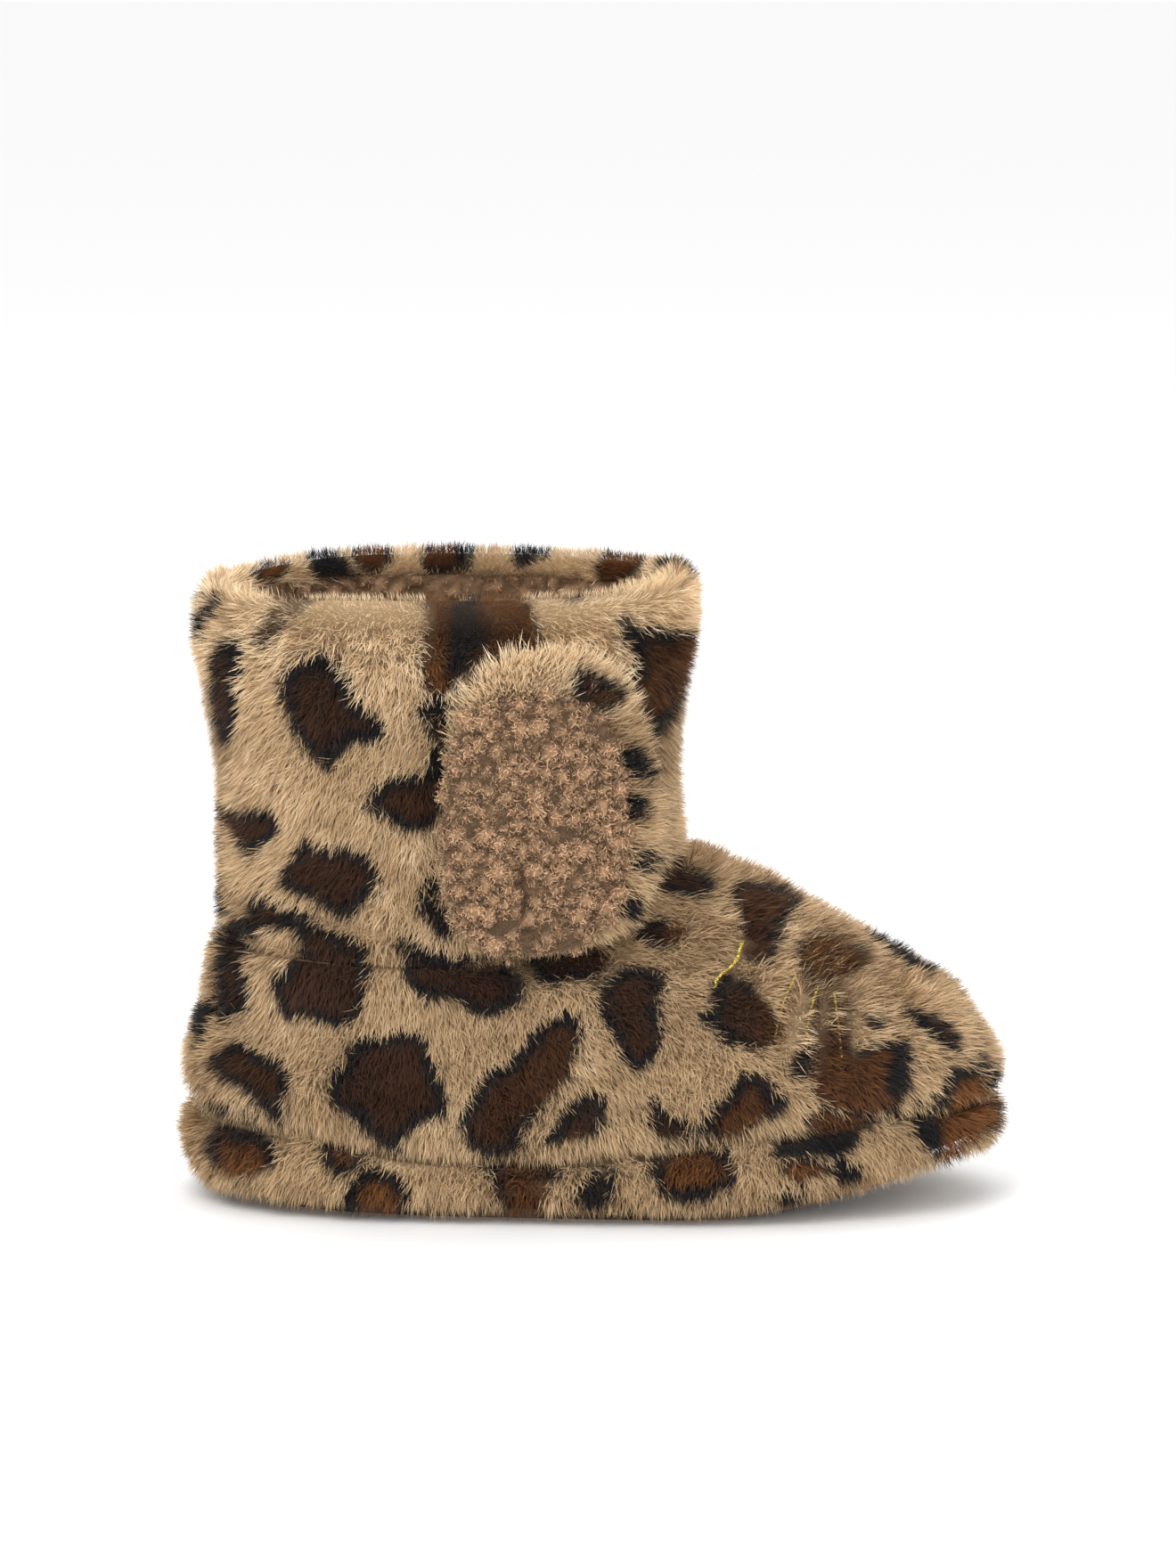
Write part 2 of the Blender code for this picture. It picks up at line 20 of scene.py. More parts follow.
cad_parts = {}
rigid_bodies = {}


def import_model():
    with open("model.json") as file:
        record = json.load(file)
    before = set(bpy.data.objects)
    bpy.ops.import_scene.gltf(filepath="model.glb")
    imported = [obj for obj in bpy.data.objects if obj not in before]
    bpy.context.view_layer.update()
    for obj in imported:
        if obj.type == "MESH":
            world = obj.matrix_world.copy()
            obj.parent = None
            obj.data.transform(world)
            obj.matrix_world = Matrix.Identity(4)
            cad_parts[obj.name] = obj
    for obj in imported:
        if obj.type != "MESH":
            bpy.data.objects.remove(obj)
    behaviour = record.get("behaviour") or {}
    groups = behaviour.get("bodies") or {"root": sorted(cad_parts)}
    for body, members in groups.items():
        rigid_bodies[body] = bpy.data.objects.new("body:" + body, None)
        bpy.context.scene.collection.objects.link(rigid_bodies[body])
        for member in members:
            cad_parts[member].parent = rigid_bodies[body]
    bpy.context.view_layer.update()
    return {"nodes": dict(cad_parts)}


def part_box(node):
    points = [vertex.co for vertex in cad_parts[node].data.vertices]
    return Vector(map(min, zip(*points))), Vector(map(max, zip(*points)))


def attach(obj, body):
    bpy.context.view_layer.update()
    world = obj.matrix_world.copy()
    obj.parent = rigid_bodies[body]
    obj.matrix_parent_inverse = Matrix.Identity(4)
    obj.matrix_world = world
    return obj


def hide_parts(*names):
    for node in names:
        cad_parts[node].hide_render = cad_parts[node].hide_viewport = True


bl_info = {
    "name": "Plush bootie slipper",
    "version": (1, 0, 0),
    "blender": (4, 5, 0),
    "location": "3D View > Sidebar > Slipper",
    "description": "Fur, sherpa, embroidery and studio for a plush bootie slipper",
    "category": "Object",
}

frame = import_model()

BODY = "root"
MAP = "OFBake"
SIDES = {"right": -1, "left": 1}

SHAFT_LOW, SHAFT_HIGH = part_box("shaft")
EAR_LOW, EAR_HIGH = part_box("ear_right_plush")
SHAFT_CENTRE_X = (SHAFT_LOW.x + SHAFT_HIGH.x) / 2
RIM_TOP = SHAFT_HIGH.z
ANKLE_BACK_Z = 0.090


def a_length(name, description, default):
    """A setting in metres."""
    return FloatProperty(name=name, description=description, default=default, unit="LENGTH")


def a_number(name, description, default, **options):
    """A setting that is a plain number."""
    return FloatProperty(name=name, description=description, default=default, **options)


def a_colour(name, description, default):
    """A setting that is a colour."""
    return FloatVectorProperty(
        name=name, description=description, subtype="COLOR", default=default
    )


class PileSettings(bpy.types.PropertyGroup):
    """Sizes and colours of the printed plush."""

    length: a_length("Pile length", "Length of a hair", 0.0078)
    width: a_length("Hair width", "Width of a lock of hairs", 0.00030)
    density: a_number("Density", "Locks on each square millimetre", 3.0)
    root_depth: a_length("Root depth", "How far the cloth lies under the pile's surface", 0.0042)
    tan: a_colour("Tan", "Ground of the print", (0.53, 0.375, 0.215))
    pale: a_colour("Pale", "Lightest hairs", (0.90, 0.73, 0.50))
    black: a_colour("Black", "Rim of a spot", (0.014, 0.013, 0.014))
    brown: a_colour("Brown", "Core of a spot", (0.068, 0.027, 0.011))
    rust: a_colour("Rust", "Warmest cores", (0.25, 0.10, 0.028))


class SherpaSettings(bpy.types.PropertyGroup):
    """Sizes and colours of the curly lining."""

    curl: a_length("Curl length", "Length of a curled hair", 0.0021)
    density: a_number("Density", "Curls on each square millimetre", 1.9)
    lump: a_length("Lump", "Width of a knot of curls", 0.0048)
    colour: a_colour("Colour", "Brown sherpa", (0.43, 0.262, 0.148))


class ThreadSettings(bpy.types.PropertyGroup):
    """The metallic thread of the embroidered face."""

    thickness: a_length("Thread", "Thickness of a stitch", 0.00045)
    spacing: a_length("Spacing", "Distance between stitches", 0.00070)
    colour: a_colour("Gold", "Gold thread", (0.72, 0.56, 0.10))


class StudioSettings(bpy.types.PropertyGroup):
    """Where the camera stands."""

    elevation: a_number(
        "Elevation", "Camera above the level", math.radians(10.5), subtype="ANGLE"
    )
    distance: a_length("Distance", "From the camera to the shoe", 2.125)
    lens: a_number("Lens", "Focal length", 150.0)
    aim_x: a_length("Aim along", "Middle of the picture", -0.0017)
    aim_up: a_length("Aim up", "Middle of the picture", 0.132)
    seed: IntProperty(name="Seed", description="Seed of all that is random", default=7)


SETTINGS = {
    "slipper_pile": PileSettings,
    "slipper_sherpa": SherpaSettings,
    "slipper_thread": ThreadSettings,
    "slipper_studio": StudioSettings,
}


def settings(name):
    """One of the scene's groups of settings."""
    return getattr(bpy.context.scene, "slipper_" + name)


# The print, charted as the camera sees it. Outlines are pairs of millimetres in the
# upright picture through the shoe's middle: along it from the shoe's middle, and up from the
# floor. A later spot is printed over an earlier one.


class Spot(NamedTuple):
    """One spot of the print: its black rim, its core and its outline.

    Rim is in millimetres. Warmth goes from black through brown to rust, and strength is the
    share of inked hairs. The rim is missing towards open_way, in degrees from level.
    """

    rim: float
    warmth: float
    outline: tuple
    strength: float = 1
    open_way: float | None = None


TOE_RUST = Spot(0.5, 1, (114.5, 38.5, 122, 38.5, 127, 36, 128.5, 30.5, 132, 26, 129.5, 20.5,
    124, 18, 118.5, 13, 116, 8.5, 111, 12, 109, 17, 110, 24, 113, 29.5, 114, 35))
TOE_BLACK = [
    Spot(8, 0.1, (103, 19.5, 105, 25, 108.5, 27, 111.5, 26, 113, 18.5, 111.5, 12, 106.5, 14.5)),
    Spot(8, 0.1, (102, 29, 110.5, 30, 116, 40.5, 124, 39.5, 125, 37.5, 118.5, 36.5, 115, 33,
        112.5, 27.5, 106.5, 27)),
]
BENEATH_PATCH = Spot(0.5, 0.7, (69, 26, 77.5, 27, 92, 25, 91, 20.5, 84.5, 16.5, 74.5, 16.5,
    68, 20.5), 0.9)
RIDGE_PRINT = [
    Spot(2.5, 0.8, (89, 83.5, 94, 82.5, 99.5, 79.5, 105, 76.5, 111, 73, 110, 69, 104, 69.5,
        98.5, 73.5, 94, 78, 89, 80.5)),
    Spot(1, 1, (111, 73.5, 115, 73, 119.5, 68.5, 121, 64, 116, 66, 112, 69.5)),
]

NEAR_PRINT = [
    Spot(4, 0.5, (-99.5, 170.5, -91, 174.5, -82, 172.5, -78, 166, -77, 160, -70.5, 156.5,
        -65, 149.5, -69.5, 145.5, -77, 147.5, -82, 142.5, -85, 136.5, -91, 141, -96.5, 148,
        -99.5, 156.5, -101, 163)),
    Spot(2.2, 0.5, (-120.5, 179.5, -113.5, 179.5, -113, 170.5, -114.5, 161, -115.5, 151.5,
        -119, 143.5, -121.5, 151.5, -123, 164.5, -122, 174)),
    Spot(1.5, 0.55, (-99.5, 196.5, -91, 196, -91, 191, -98, 186.5, -103, 178.5, -108, 176.5,
        -110, 182.5, -105, 189.5, -101.5, 194), 0.6),
    Spot(0.6, 0.85, (-56, 199, -45, 200, -32.5, 199, -24, 199, -20, 190, -19, 183.5, -16, 178.5,
        -18, 176, -26.5, 176, -34.5, 173.5, -39.5, 170.5, -44, 166, -47.5, 162.5, -53.5, 161,
        -56, 168, -55, 178.5), 0.95),
    Spot(6, 0, (-45, 194, -36, 191.5, -33.5, 182.5, -36, 176.5, -41.5, 171.5, -45, 167, -48.5, 168,
        -47, 178.5), 0.9),
    Spot(6, 0.1, (-58.5, 156, -52.5, 160, -46.5, 161.5, -47.5, 155, -51, 152, -56, 153.5)),
    Spot(1.5, 0.7, (-53, 152.5, -46, 154.5, -45.5, 147, -51, 144, -54, 147), 0.9),
    Spot(6, 0.1, (-53.5, 144.5, -46, 147, -47, 136.5, -51, 135, -54.5, 137.5), 0.95),
    Spot(3, 0.55, (-74.5, 127, -68.5, 133.5, -61.5, 135, -52.5, 137, -48, 136.5, -48.5, 127,
        -49.5, 120, -56, 117.5, -63, 118.5, -68.5, 122, -72.5, 124)),
    Spot(3, 0.5, (-94.5, 116, -87.5, 112.5, -77, 112, -72, 111, -71.5, 106, -67.5, 102, -69.5, 97.5,
        -74.5, 94.5, -78, 89, -84, 89.5, -91, 94.5, -99.5, 98.5, -100.5, 102.5, -97.5, 108.5,
        -95.5, 112)),
    Spot(2.8, 0.55, (-119.5, 127.5, -114.5, 124.5, -107.5, 124.5, -103.5, 126, -100.5, 117.5,
        -104, 114, -108, 111, -111, 108.5, -114, 113, -117, 119, -120, 123.5), 1, 180),
    Spot(3.5, 0.75, (7.5, 183, 14.5, 182.5, 24, 181.5, 31, 182.5, 34.5, 178.5, 33.5, 170.5,
        31.5, 162.5, 26.5, 158.5, 25, 153.5, 21.5, 148, 18, 148, 14.5, 152.5, 11, 159, 9, 166,
        13, 170.5, 13, 176.5, 8.5, 179.5), 1, 0),
    Spot(2, 0.3, (28, 151.5, 30, 147, 30, 135.5, 29.5, 124, 27, 125.5, 27.5, 135.5, 26.5, 147),
        0.95),
    Spot(2, 0.5, (-123, 102, -119, 105, -117.5, 94, -116.5, 90.5, -121.5, 88.5, -123.5, 94)),
    Spot(6, 0.1, (-121.5, 117.5, -119, 118, -118.5, 113, -120, 108.5, -121.5, 112), 0.9),
    Spot(3, 0.4, (-57, 93, -55, 102.5, -51.5, 104.5, -50, 95.5, -47.5, 89, -45, 82.5, -41.5, 77.5,
        -46.5, 80, -52.5, 87, -56, 89.5)),
    Spot(2, 0.5, (-127.5, 190, -123.5, 193.5, -120, 193, -124, 186.5, -125, 177.5, -127, 180),
        0.85),
    Spot(6, 0.1, (-10.5, 192, -6.5, 194.5, -0.5, 193.5, -3, 191.5), 0.7),
    Spot(6, 0.2, (6.5, 186.5, 10, 188, 14.5, 182.5, 10, 178.5), 0.7),
    Spot(3, 0.5, (-121.5, 77.5, -120.5, 84, -116, 87.5, -110.5, 89, -111, 94.5, -106, 96.5,
        -99, 92.5, -92, 89.5, -86.5, 86, -81.5, 83.5, -74, 80.5, -72, 75, -72.5, 67.5, -74, 60,
        -78, 54, -84.5, 54.5, -92, 57.5, -97.5, 56.5, -102, 59, -102.5, 64, -105, 67.5, -101, 70.5,
        -98.5, 74, -96, 77.5, -93.5, 79.5, -97.5, 83.5, -103, 85, -107.5, 84, -111, 81, -112.5, 77,
        -111.5, 70.5, -110, 65, -111, 58.5, -116, 56.5, -119.5, 53.5, -120.5, 60, -121, 69.5)),
    Spot(3.2, 0.5, (-65, 82, -57.5, 82.5, -53.5, 78.5, -46.5, 78, -38, 76, -31.5, 75, -27, 72.5,
        -21.5, 67.5, -23, 61, -29, 59.5, -35.5, 56.5, -41, 59, -46.5, 62.5, -53, 62.5, -58.5, 64.5,
        -62.5, 68.5, -61.5, 74, -64, 78.5)),
    Spot(3, 0.6, (-24.5, 75.5, -18, 78, -8.5, 79.5, -1, 78, 5, 77, 2, 72, 1, 67.5, -6.5, 67.5,
        -14, 66, -18.5, 69, -21.5, 73), 1, 45),
    Spot(3, 0.55, (-121.5, 44.5, -116, 47.5, -113.5, 49, -111, 46.5, -105.5, 44.5, -101, 42.5,
        -97.5, 38, -98.5, 33.5, -100, 28.5, -99.5, 22.5, -104, 24, -108.5, 28.5, -112, 32,
        -117.5, 35, -121.5, 38, -123, 41.5)),
    Spot(3.6, 0.52, (-79, 47, -73.5, 51, -68, 51, -61.5, 53.5, -56.5, 52, -53, 48, -53, 43.5,
        -49, 38, -48, 32.5, -46.5, 24, -53, 24, -57.5, 21, -61, 18.5, -64, 13.5, -69, 14.5,
        -73.5, 21, -79, 25, -84.5, 27.5, -87.5, 32.5, -85.5, 37, -81, 41.5)),
    Spot(3.2, 0.6, (-16, 57, -8.5, 58, -4.5, 56.5, -4, 51, -6.5, 45, -8.5, 38, -13, 32, -18.5, 25,
        -23, 19.5, -22.5, 13.5, -31.5, 11.5, -38.5, 13, -42.5, 20.5, -42, 28, -38.5, 33.5,
        -35.5, 40, -29, 40, -25, 45, -18.5, 53), 1, -15),
    Spot(3.2, 0.5, (-6.5, 31.5, 1, 33, 4, 28.5, 4, 23, 1, 18.5, -8.5, 17.5, -18, 14.5, -14.5, 19.5,
        -10.5, 25), 1, -80),
    Spot(3.2, 0.55, (2, 66, 7, 71, 13.5, 73, 20.5, 71.5, 23, 68, 21, 62.5, 20.5, 57, 22, 51.5,
        21.5, 45, 18, 40.5, 14, 37.5, 10.5, 41.5, 6.5, 47, 5, 53.5, 1, 59.5, 0, 62.5)),
    Spot(2.6, 0.5, (21.5, 106.5, 24.5, 110, 29, 106.5, 33.5, 103.5, 38.5, 101, 38.5, 97, 34.5, 95,
        28, 94.5, 23.5, 96.5, 19.5, 100), 1, 100),
    Spot(3.2, 0.75, (12.5, 83.5, 16, 87, 21, 89, 25.5, 87, 29.5, 84, 28.5, 80, 22.5, 79.5, 17, 79.5,
        13, 81), 1, -10),
    Spot(2.2, 0.65, (43.5, 98.5, 51.5, 100, 55.5, 99.5, 61, 97.5, 68.5, 96, 68, 93.5, 63, 90,
        61, 86, 60, 81.5, 59, 78, 57, 73.5, 53.5, 72, 50, 75, 49.5, 81, 48, 87, 45, 92.5), 1, 200),
    Spot(3.4, 0.6, (39.5, 67.5, 46, 69, 52, 67, 53.5, 63.5, 56.5, 59, 60, 54.5, 59.5, 49.5,
        55.5, 45.5, 49, 45, 43.5, 47.5, 38.5, 53, 35, 55, 36, 58, 38.5, 59, 37, 63.5), 1, 0),
    Spot(1.2, 0.8, (64.5, 78, 68, 82, 74.5, 83, 82, 80, 89.5, 76.5, 88.5, 72.5, 81, 69.5, 74.5, 66,
        69, 68, 65.5, 71.5), 0.8, -60),
    Spot(0.8, 0.72, (70, 48, 76.5, 53.5, 81, 49.5, 86.5, 44, 94, 48, 98.5, 49.5, 102.5, 44,
        102.5, 35, 98.5, 27.5, 92, 25, 84.5, 25.5, 77.5, 27.5, 71, 29.5, 70, 37), 0.9, 180),
    Spot(8, 0.2, (94, 47, 100.5, 50, 102.5, 42.5, 102.5, 35, 97.5, 29.5, 94, 35), 0.9),
    Spot(8, 0.2, (61, 42.5, 64.5, 41.5, 69.5, 46, 69.5, 38.5, 65.5, 35.5), 0.8),
    Spot(6, 0.1, (88.5, 54, 94, 56.5, 94.5, 53.5, 91, 51)),
    Spot(2, 0.5, (100, 58.5, 106.5, 58, 113, 54.5, 118, 49.5, 118, 43.5, 114, 45, 110.5, 48.5,
        105, 53, 101, 56)),
    Spot(3.4, 0.7, (40.5, 29.5, 46, 35, 48, 38.5, 53.5, 38.5, 60, 32.5, 64.5, 29, 60, 25.5,
        51.5, 22, 43.5, 19.5, 33, 17, 36, 24, 38.5, 27), 1, -80),
    Spot(2.5, 0.5, (17.5, 31.5, 20.5, 30.5, 21.5, 26, 25, 24.5, 32.5, 23, 32.5, 17.5, 26, 17,
        19.5, 17.5, 18.5, 23), 1, -90),
    Spot(0.5, 0.62, (70, 66, 75.5, 69, 83, 66, 84.5, 59, 83, 49.5, 79, 44, 72, 44, 70, 53.5), 0.55),
    BENEATH_PATCH,
    TOE_RUST,
    *TOE_BLACK,
    *RIDGE_PRINT,
    Spot(8, 0.1, (123.5, 48, 128, 40.5, 131.5, 35, 132.5, 29.5, 129.5, 32, 127.5, 36.5, 124, 39.5,
        123, 44)),
    Spot(2.5, 0.5, (-127, 61, -123, 63, -122, 58.5, -124, 51, -126.5, 46.5, -128.5, 49,
        -127.5, 55.5)),
    Spot(8, 0.15, (-130, 29.5, -121.5, 29, -117.5, 28.5, -109, 25, -110, 23.5, -117.5, 26,
        -128, 27), 0.9),
]

FAR_PRINT = [
    *RIDGE_PRINT,
    Spot(6, 0.1, (50.5, 105.5, 53.5, 105, 54.5, 103, 51.5, 103), 0.8),
    Spot(1, 1, (128.5, 44.5, 132, 42, 133, 35, 131.5, 31, 129, 36.5, 128, 41.5)),
    Spot(2.5, 0.6, (-134.5, 54.5, -130.5, 57.5, -128.5, 56.5, -129.5, 51, -132.5, 45, -136, 39.5,
        -137.5, 41, -133.5, 48)),
]

FACING_PRINT = [
    Spot(1, 0.9, (-113, 199, -108, 204, -101, 205, -98, 201.5, -106, 197.5)),
    Spot(8, 0.1, (-94, 210, -88, 210, -79, 204, -76, 198.5, -83, 197.5, -92, 199.5)),
    Spot(1, 0.9, (-79, 211, -72, 214, -65.5, 214.5, -65.5, 203, -70, 200.5, -78, 201.5)),
    Spot(1, 0.85, (-56, 203.5, -54, 213.5, -43.5, 215, -41, 207, -43.5, 201, -53, 201)),
    Spot(8, 0.1, (-44.5, 215, -36, 215, -38.5, 207, -40.5, 201, -44, 202)),
    Spot(8, 0.15, (-27, 213, -15, 214.5, -12.5, 209, -17.5, 206, -20, 201.5, -25.5, 203), 0.9),
    Spot(1, 0.9, (1, 206, 9, 210, 19.5, 208, 14.5, 201, 5.5, 195.5, 1.5, 199.5)),
    Spot(6, 0.1, (19, 205, 27, 203.5, 33.5, 199, 32, 195, 24, 197.5), 0.9),
]

BAND_PRINT = [
    BENEATH_PATCH,
    TOE_RUST,
    *TOE_BLACK,
    Spot(3.2, 0.85, (-124.5, 11, -123.5, 16.5, -122.5, 22.5, -117, 22, -114, 18.5, -110.5, 21.5,
        -106.5, 20.5, -105.5, 16, -102, 12, -102.5, 7.5, -108.5, 7, -110.5, 4.5, -116, 5, -122, 8),
        1, -90),
    Spot(3.4, 0.85, (-89, 16, -84.5, 18.5, -79, 17, -74, 16, -75, 12, -77.5, 6.5, -82.5, 4.5,
        -86.5, 8, -88.5, 12), 1, 45),
    Spot(3, 0.9, (-83.5, -4, -79, 2, -75, 6.5, -72.5, 9.5, -69.5, 6, -64, 6, -61, 1, -59, -0.5,
        -61, -5, -66, -6, -74, -4.5), 1, -90),
    Spot(3.2, 0.75, (-38.5, 11, -30, 13.5, -18, 16, -6.5, 16.5, -4.5, 14, -10, 6.5, -14, 1, -16, -5,
        -23.5, -7.5, -29, -6, -32, 2, -35.5, 8), 1, -70),
    Spot(4, 0.3, (-7, -2.5, -3, 3, 0.5, 7, 6, 8, 7, 2, 5, -3.5, -3, -4.5)),
    Spot(3.6, 0.85, (19.5, 8.5, 21.5, 14, 25, 17, 33.5, 18, 39, 16, 44.5, 12, 47, 6, 43, 0,
        35.5, -3, 27, -3, 21.5, -1, 19, 4)),
    Spot(8, 0.2, (57, 12, 61, 20.5, 66.5, 22.5, 75.5, 20.5, 83, 19, 88.5, 20.5, 85, 14, 79, 10,
        72, 12, 64.5, 10, 60, 10), 0.95),
    Spot(0.8, 0.9, (60, 8.5, 66.5, 10.5, 74.5, 9.5, 77.5, 6.5, 70, 3.5, 60.5, 4.5), 0.9),
    Spot(6, 0.15, (75.5, 9.5, 82, 11.5, 87, 7.5, 86, 3.5, 79, 2.5), 0.95),
    Spot(6, 0.15, (56, -1, 61, 1.5, 69.5, 1, 68.5, -1.5, 61, -2.5), 0.9),
    Spot(0.6, 0.9, (-58, 14.5, -49.5, 14, -43.5, 12.5, -44.5, 10.5, -55, 11.5), 0.75),
    Spot(0.6, 0.9, (-116, 6, -106.5, 4, -107.5, 0.5, -115.5, 2.5), 0.35),
]

EAR_PRINT = [
    Spot(2.5, 0.65, (-8, 172, -2, 171, 5.5, 167, 9.5, 162.5, 3, 158.5, -4, 155.5, -8, 161)),
    Spot(6, 0.1, (10, 147.5, 16, 145, 19, 137.5, 18, 132.5, 12.5, 136, 8.5, 141)),
    Spot(6, 0.1, (10, 131, 16, 130, 17, 124.5, 13, 122, 10, 123.5)),
    Spot(6, 0.2, (12, 110.5, 21.5, 111, 21.5, 104.5, 14.5, 102, 11.5, 106), 0.9),
    Spot(6, 0.1, (9, 95.5, 15, 96.5, 15.5, 90.5, 10, 86)),
    Spot(6, 0.1, (-32.5, 161, -22.5, 162.5, -22, 160, -29, 158.5), 0.9),
]


class Scatter(NamedTuple):
    """How the print goes on where the photographed side doesn't show it."""

    spacing: float
    shortest: float
    longest: float
    narrowest: float
    widest: float


SCATTER = Scatter(0.0255, 0.0095, 0.0155, 0.0070, 0.0110)


class Crease(NamedTuple):
    """A soft trough or ridge between two places on the side, in metres as the shoe stands."""

    from_x: float
    from_z: float
    to_x: float
    to_z: float
    half_width: float
    depth: float


CREASES = [
    Crease(0.0088, 0.0975, 0.0010, 0.0830, 0.0036, 0.0022),
    Crease(0.0660, 0.0815, 0.0570, 0.0580, 0.0030, 0.0032),
    Crease(0.0715, 0.0780, 0.0668, 0.0510, 0.0030, 0.0032),
    Crease(0.0776, 0.0760, 0.0800, 0.0500, 0.0030, 0.0030),
    Crease(0.0690, 0.0775, 0.0628, 0.0545, 0.0026, -0.0036),
    Crease(0.0748, 0.0755, 0.0732, 0.0515, 0.0026, -0.0036),
    Crease(0.0850, 0.0740, 0.0880, 0.0480, 0.0050, -0.0020),
    Crease(0.0560, 0.0800, 0.0490, 0.0620, 0.0055, -0.0016),
    Crease(0.0460, 0.0880, 0.0385, 0.0775, 0.0030, 0.0016),
    Crease(0.0560, 0.0880, 0.0520, 0.0930, 0.0060, -0.0020),
    Crease(-0.1172, 0.1010, -0.0948, 0.1020, 0.0040, 0.0024),
    Crease(-0.0948, 0.1020, -0.0554, 0.0945, 0.0040, 0.0024),
    Crease(-0.1000, 0.1720, -0.0720, 0.1860, 0.0090, 0.0022),
    Crease(-0.1120, 0.1280, -0.0700, 0.1200, 0.0100, 0.0016),
    Crease(0.0180, 0.1500, 0.0260, 0.1280, 0.0080, 0.0016),
]
EAR_CREASE = Crease(-0.0205, 0.094, -0.0225, 0.126, 0.0026, 0.0036)


class FaceLine(NamedTuple):
    """An embroidered line on the toe, through places as (along, height) in metres.

    Fold is the reach of the parting in the pile round it, lift is its height over the foot's
    surface, and reach is half a stitch.
    """

    fold: float
    lift: float
    reach: float
    places: list


FACE_LINES = [
    FaceLine(0.0017, 0.0006, 0.0009, [
        (0.0470, 0.0886), (0.0461, 0.0855), (0.0441, 0.0827),
        (0.0403, 0.0804), (0.0386, 0.0790), (0.0383, 0.0770),
    ]),
    FaceLine(0.0022, -0.0006, 0.0006, [
        (0.0643, 0.0791), (0.0619, 0.0754), (0.0592, 0.0696), (0.0577, 0.0624),
    ]),
    FaceLine(0.0022, -0.0009, 0.0006, [
        (0.0713, 0.0753), (0.0692, 0.0700), (0.0680, 0.0650), (0.0676, 0.0566),
    ]),
    FaceLine(0.0022, -0.0014, 0.0006, [
        (0.0771, 0.0739), (0.0777, 0.0670), (0.0785, 0.0618), (0.0790, 0.0552),
    ]),
]

SHARED = {}


def shared(key, make):
    """Something that several operators use, made once."""
    if key not in SHARED:
        SHARED[key] = make()
    return SHARED[key]


def picture_axes():
    """The picture's upright direction and the way the camera looks."""
    tilt = settings("studio").elevation
    return Vector((0, math.sin(tilt), math.cos(tilt))), Vector((0, math.cos(tilt), -math.sin(tilt)))


def camera_place():
    """Where the camera stands."""
    up, ahead = picture_axes()
    studio = settings("studio")
    return Vector((studio.aim_x, 0, 0)) + up * studio.aim_up - ahead * studio.distance


def new_piece(name, data):
    """An object at the origin for a finished mesh or curve."""
    piece = bpy.data.objects.new(name, data)
    bpy.context.scene.collection.objects.link(piece)
    return piece


def finished(piece, slot, *nodes):
    """Lets a piece ride on the slipper, and hides the nodes that it stands for."""
    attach(piece, BODY)
    if nodes:
        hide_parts(*nodes)
    return piece


def finished_cloth(name, mesh, slot, *nodes):
    """A finished piece of cloth, coloured by the ground that is stored on it."""
    mesh.name = name
    mesh.materials.append(shared("cloth", cloth_material))
    return finished(new_piece(name, mesh), slot, *nodes)


def mesh_of(builder, name):
    """A smooth mesh from a bmesh."""
    mesh = bpy.data.meshes.new(name)
    builder.to_mesh(mesh)
    builder.free()
    mesh.shade_smooth()
    return mesh


def surface_of(node):
    """A CAD node's loose triangles, copied and joined into one closed surface of quads."""
    builder = bmesh.new()
    builder.from_mesh(frame["nodes"][node].data)
    bmesh.ops.remove_doubles(builder, verts=builder.verts, dist=1e-6)
    bmesh.ops.join_triangles(
        builder, faces=builder.faces, angle_face_threshold=0.8, angle_shape_threshold=0.9
    )
    builder.normal_update()
    return mesh_of(builder, node)


def part_of(mesh, keep, name):
    """The faces of a mesh for which all corners are kept."""
    builder = bmesh.new()
    builder.from_mesh(mesh)
    builder.verts.ensure_lookup_table()
    gone = [face for face in builder.faces if not all(keep[v.index] for v in face.verts)]
    bmesh.ops.delete(builder, geom=gone, context="FACES")
    loose = [vertex for vertex in builder.verts if not vertex.link_faces]
    bmesh.ops.delete(builder, geom=loose, context="VERTS")
    return mesh_of(builder, name)


def used_up(piece):
    """The mesh that an object's modifiers make. The object itself is deleted."""
    graph = bpy.context.evaluated_depsgraph_get()
    mesh = bpy.data.meshes.new_from_object(piece.evaluated_get(graph))
    bpy.data.objects.remove(piece)
    mesh.shade_smooth()
    return mesh


def reworked(mesh, kind, **options):
    """The mesh after one modifier."""
    piece = new_piece("reworking", mesh)
    modifier = piece.modifiers.new("Rework", kind)
    for name, value in options.items():
        setattr(modifier, name, value)
    return used_up(piece)


def grown(piece, tree, values):
    """The mesh that a node tree makes of an object. The object is used up."""
    modifier = piece.modifiers.new("Grown", "NODES")
    modifier.node_group = tree
    for item in tree.interface.items_tree:
        if item.in_out == "INPUT" and item.name in values:
            modifier[item.identifier] = values[item.name]
    return used_up(piece)


def subdivided(mesh, levels):
    """The mesh after Catmull-Clark subdivision."""
    return reworked(mesh, "SUBSURF", levels=levels, render_levels=levels)


def evened(mesh, size):
    """The mesh as even quads of one size."""
    return reworked(mesh, "REMESH", mode="VOXEL", voxel_size=size)


def places_and_normals(mesh):
    """Arrays of a mesh's vertices and of their normals."""
    places, normals = np.empty((2, len(mesh.vertices), 3))
    mesh.vertices.foreach_get("co", places.ravel())
    mesh.vertex_normals.foreach_get("vector", normals.ravel())
    return places, normals


def move(mesh, places):
    """Moves a mesh's vertices to new places."""
    mesh.vertices.foreach_set("co", places.ravel())
    mesh.update()
    return mesh


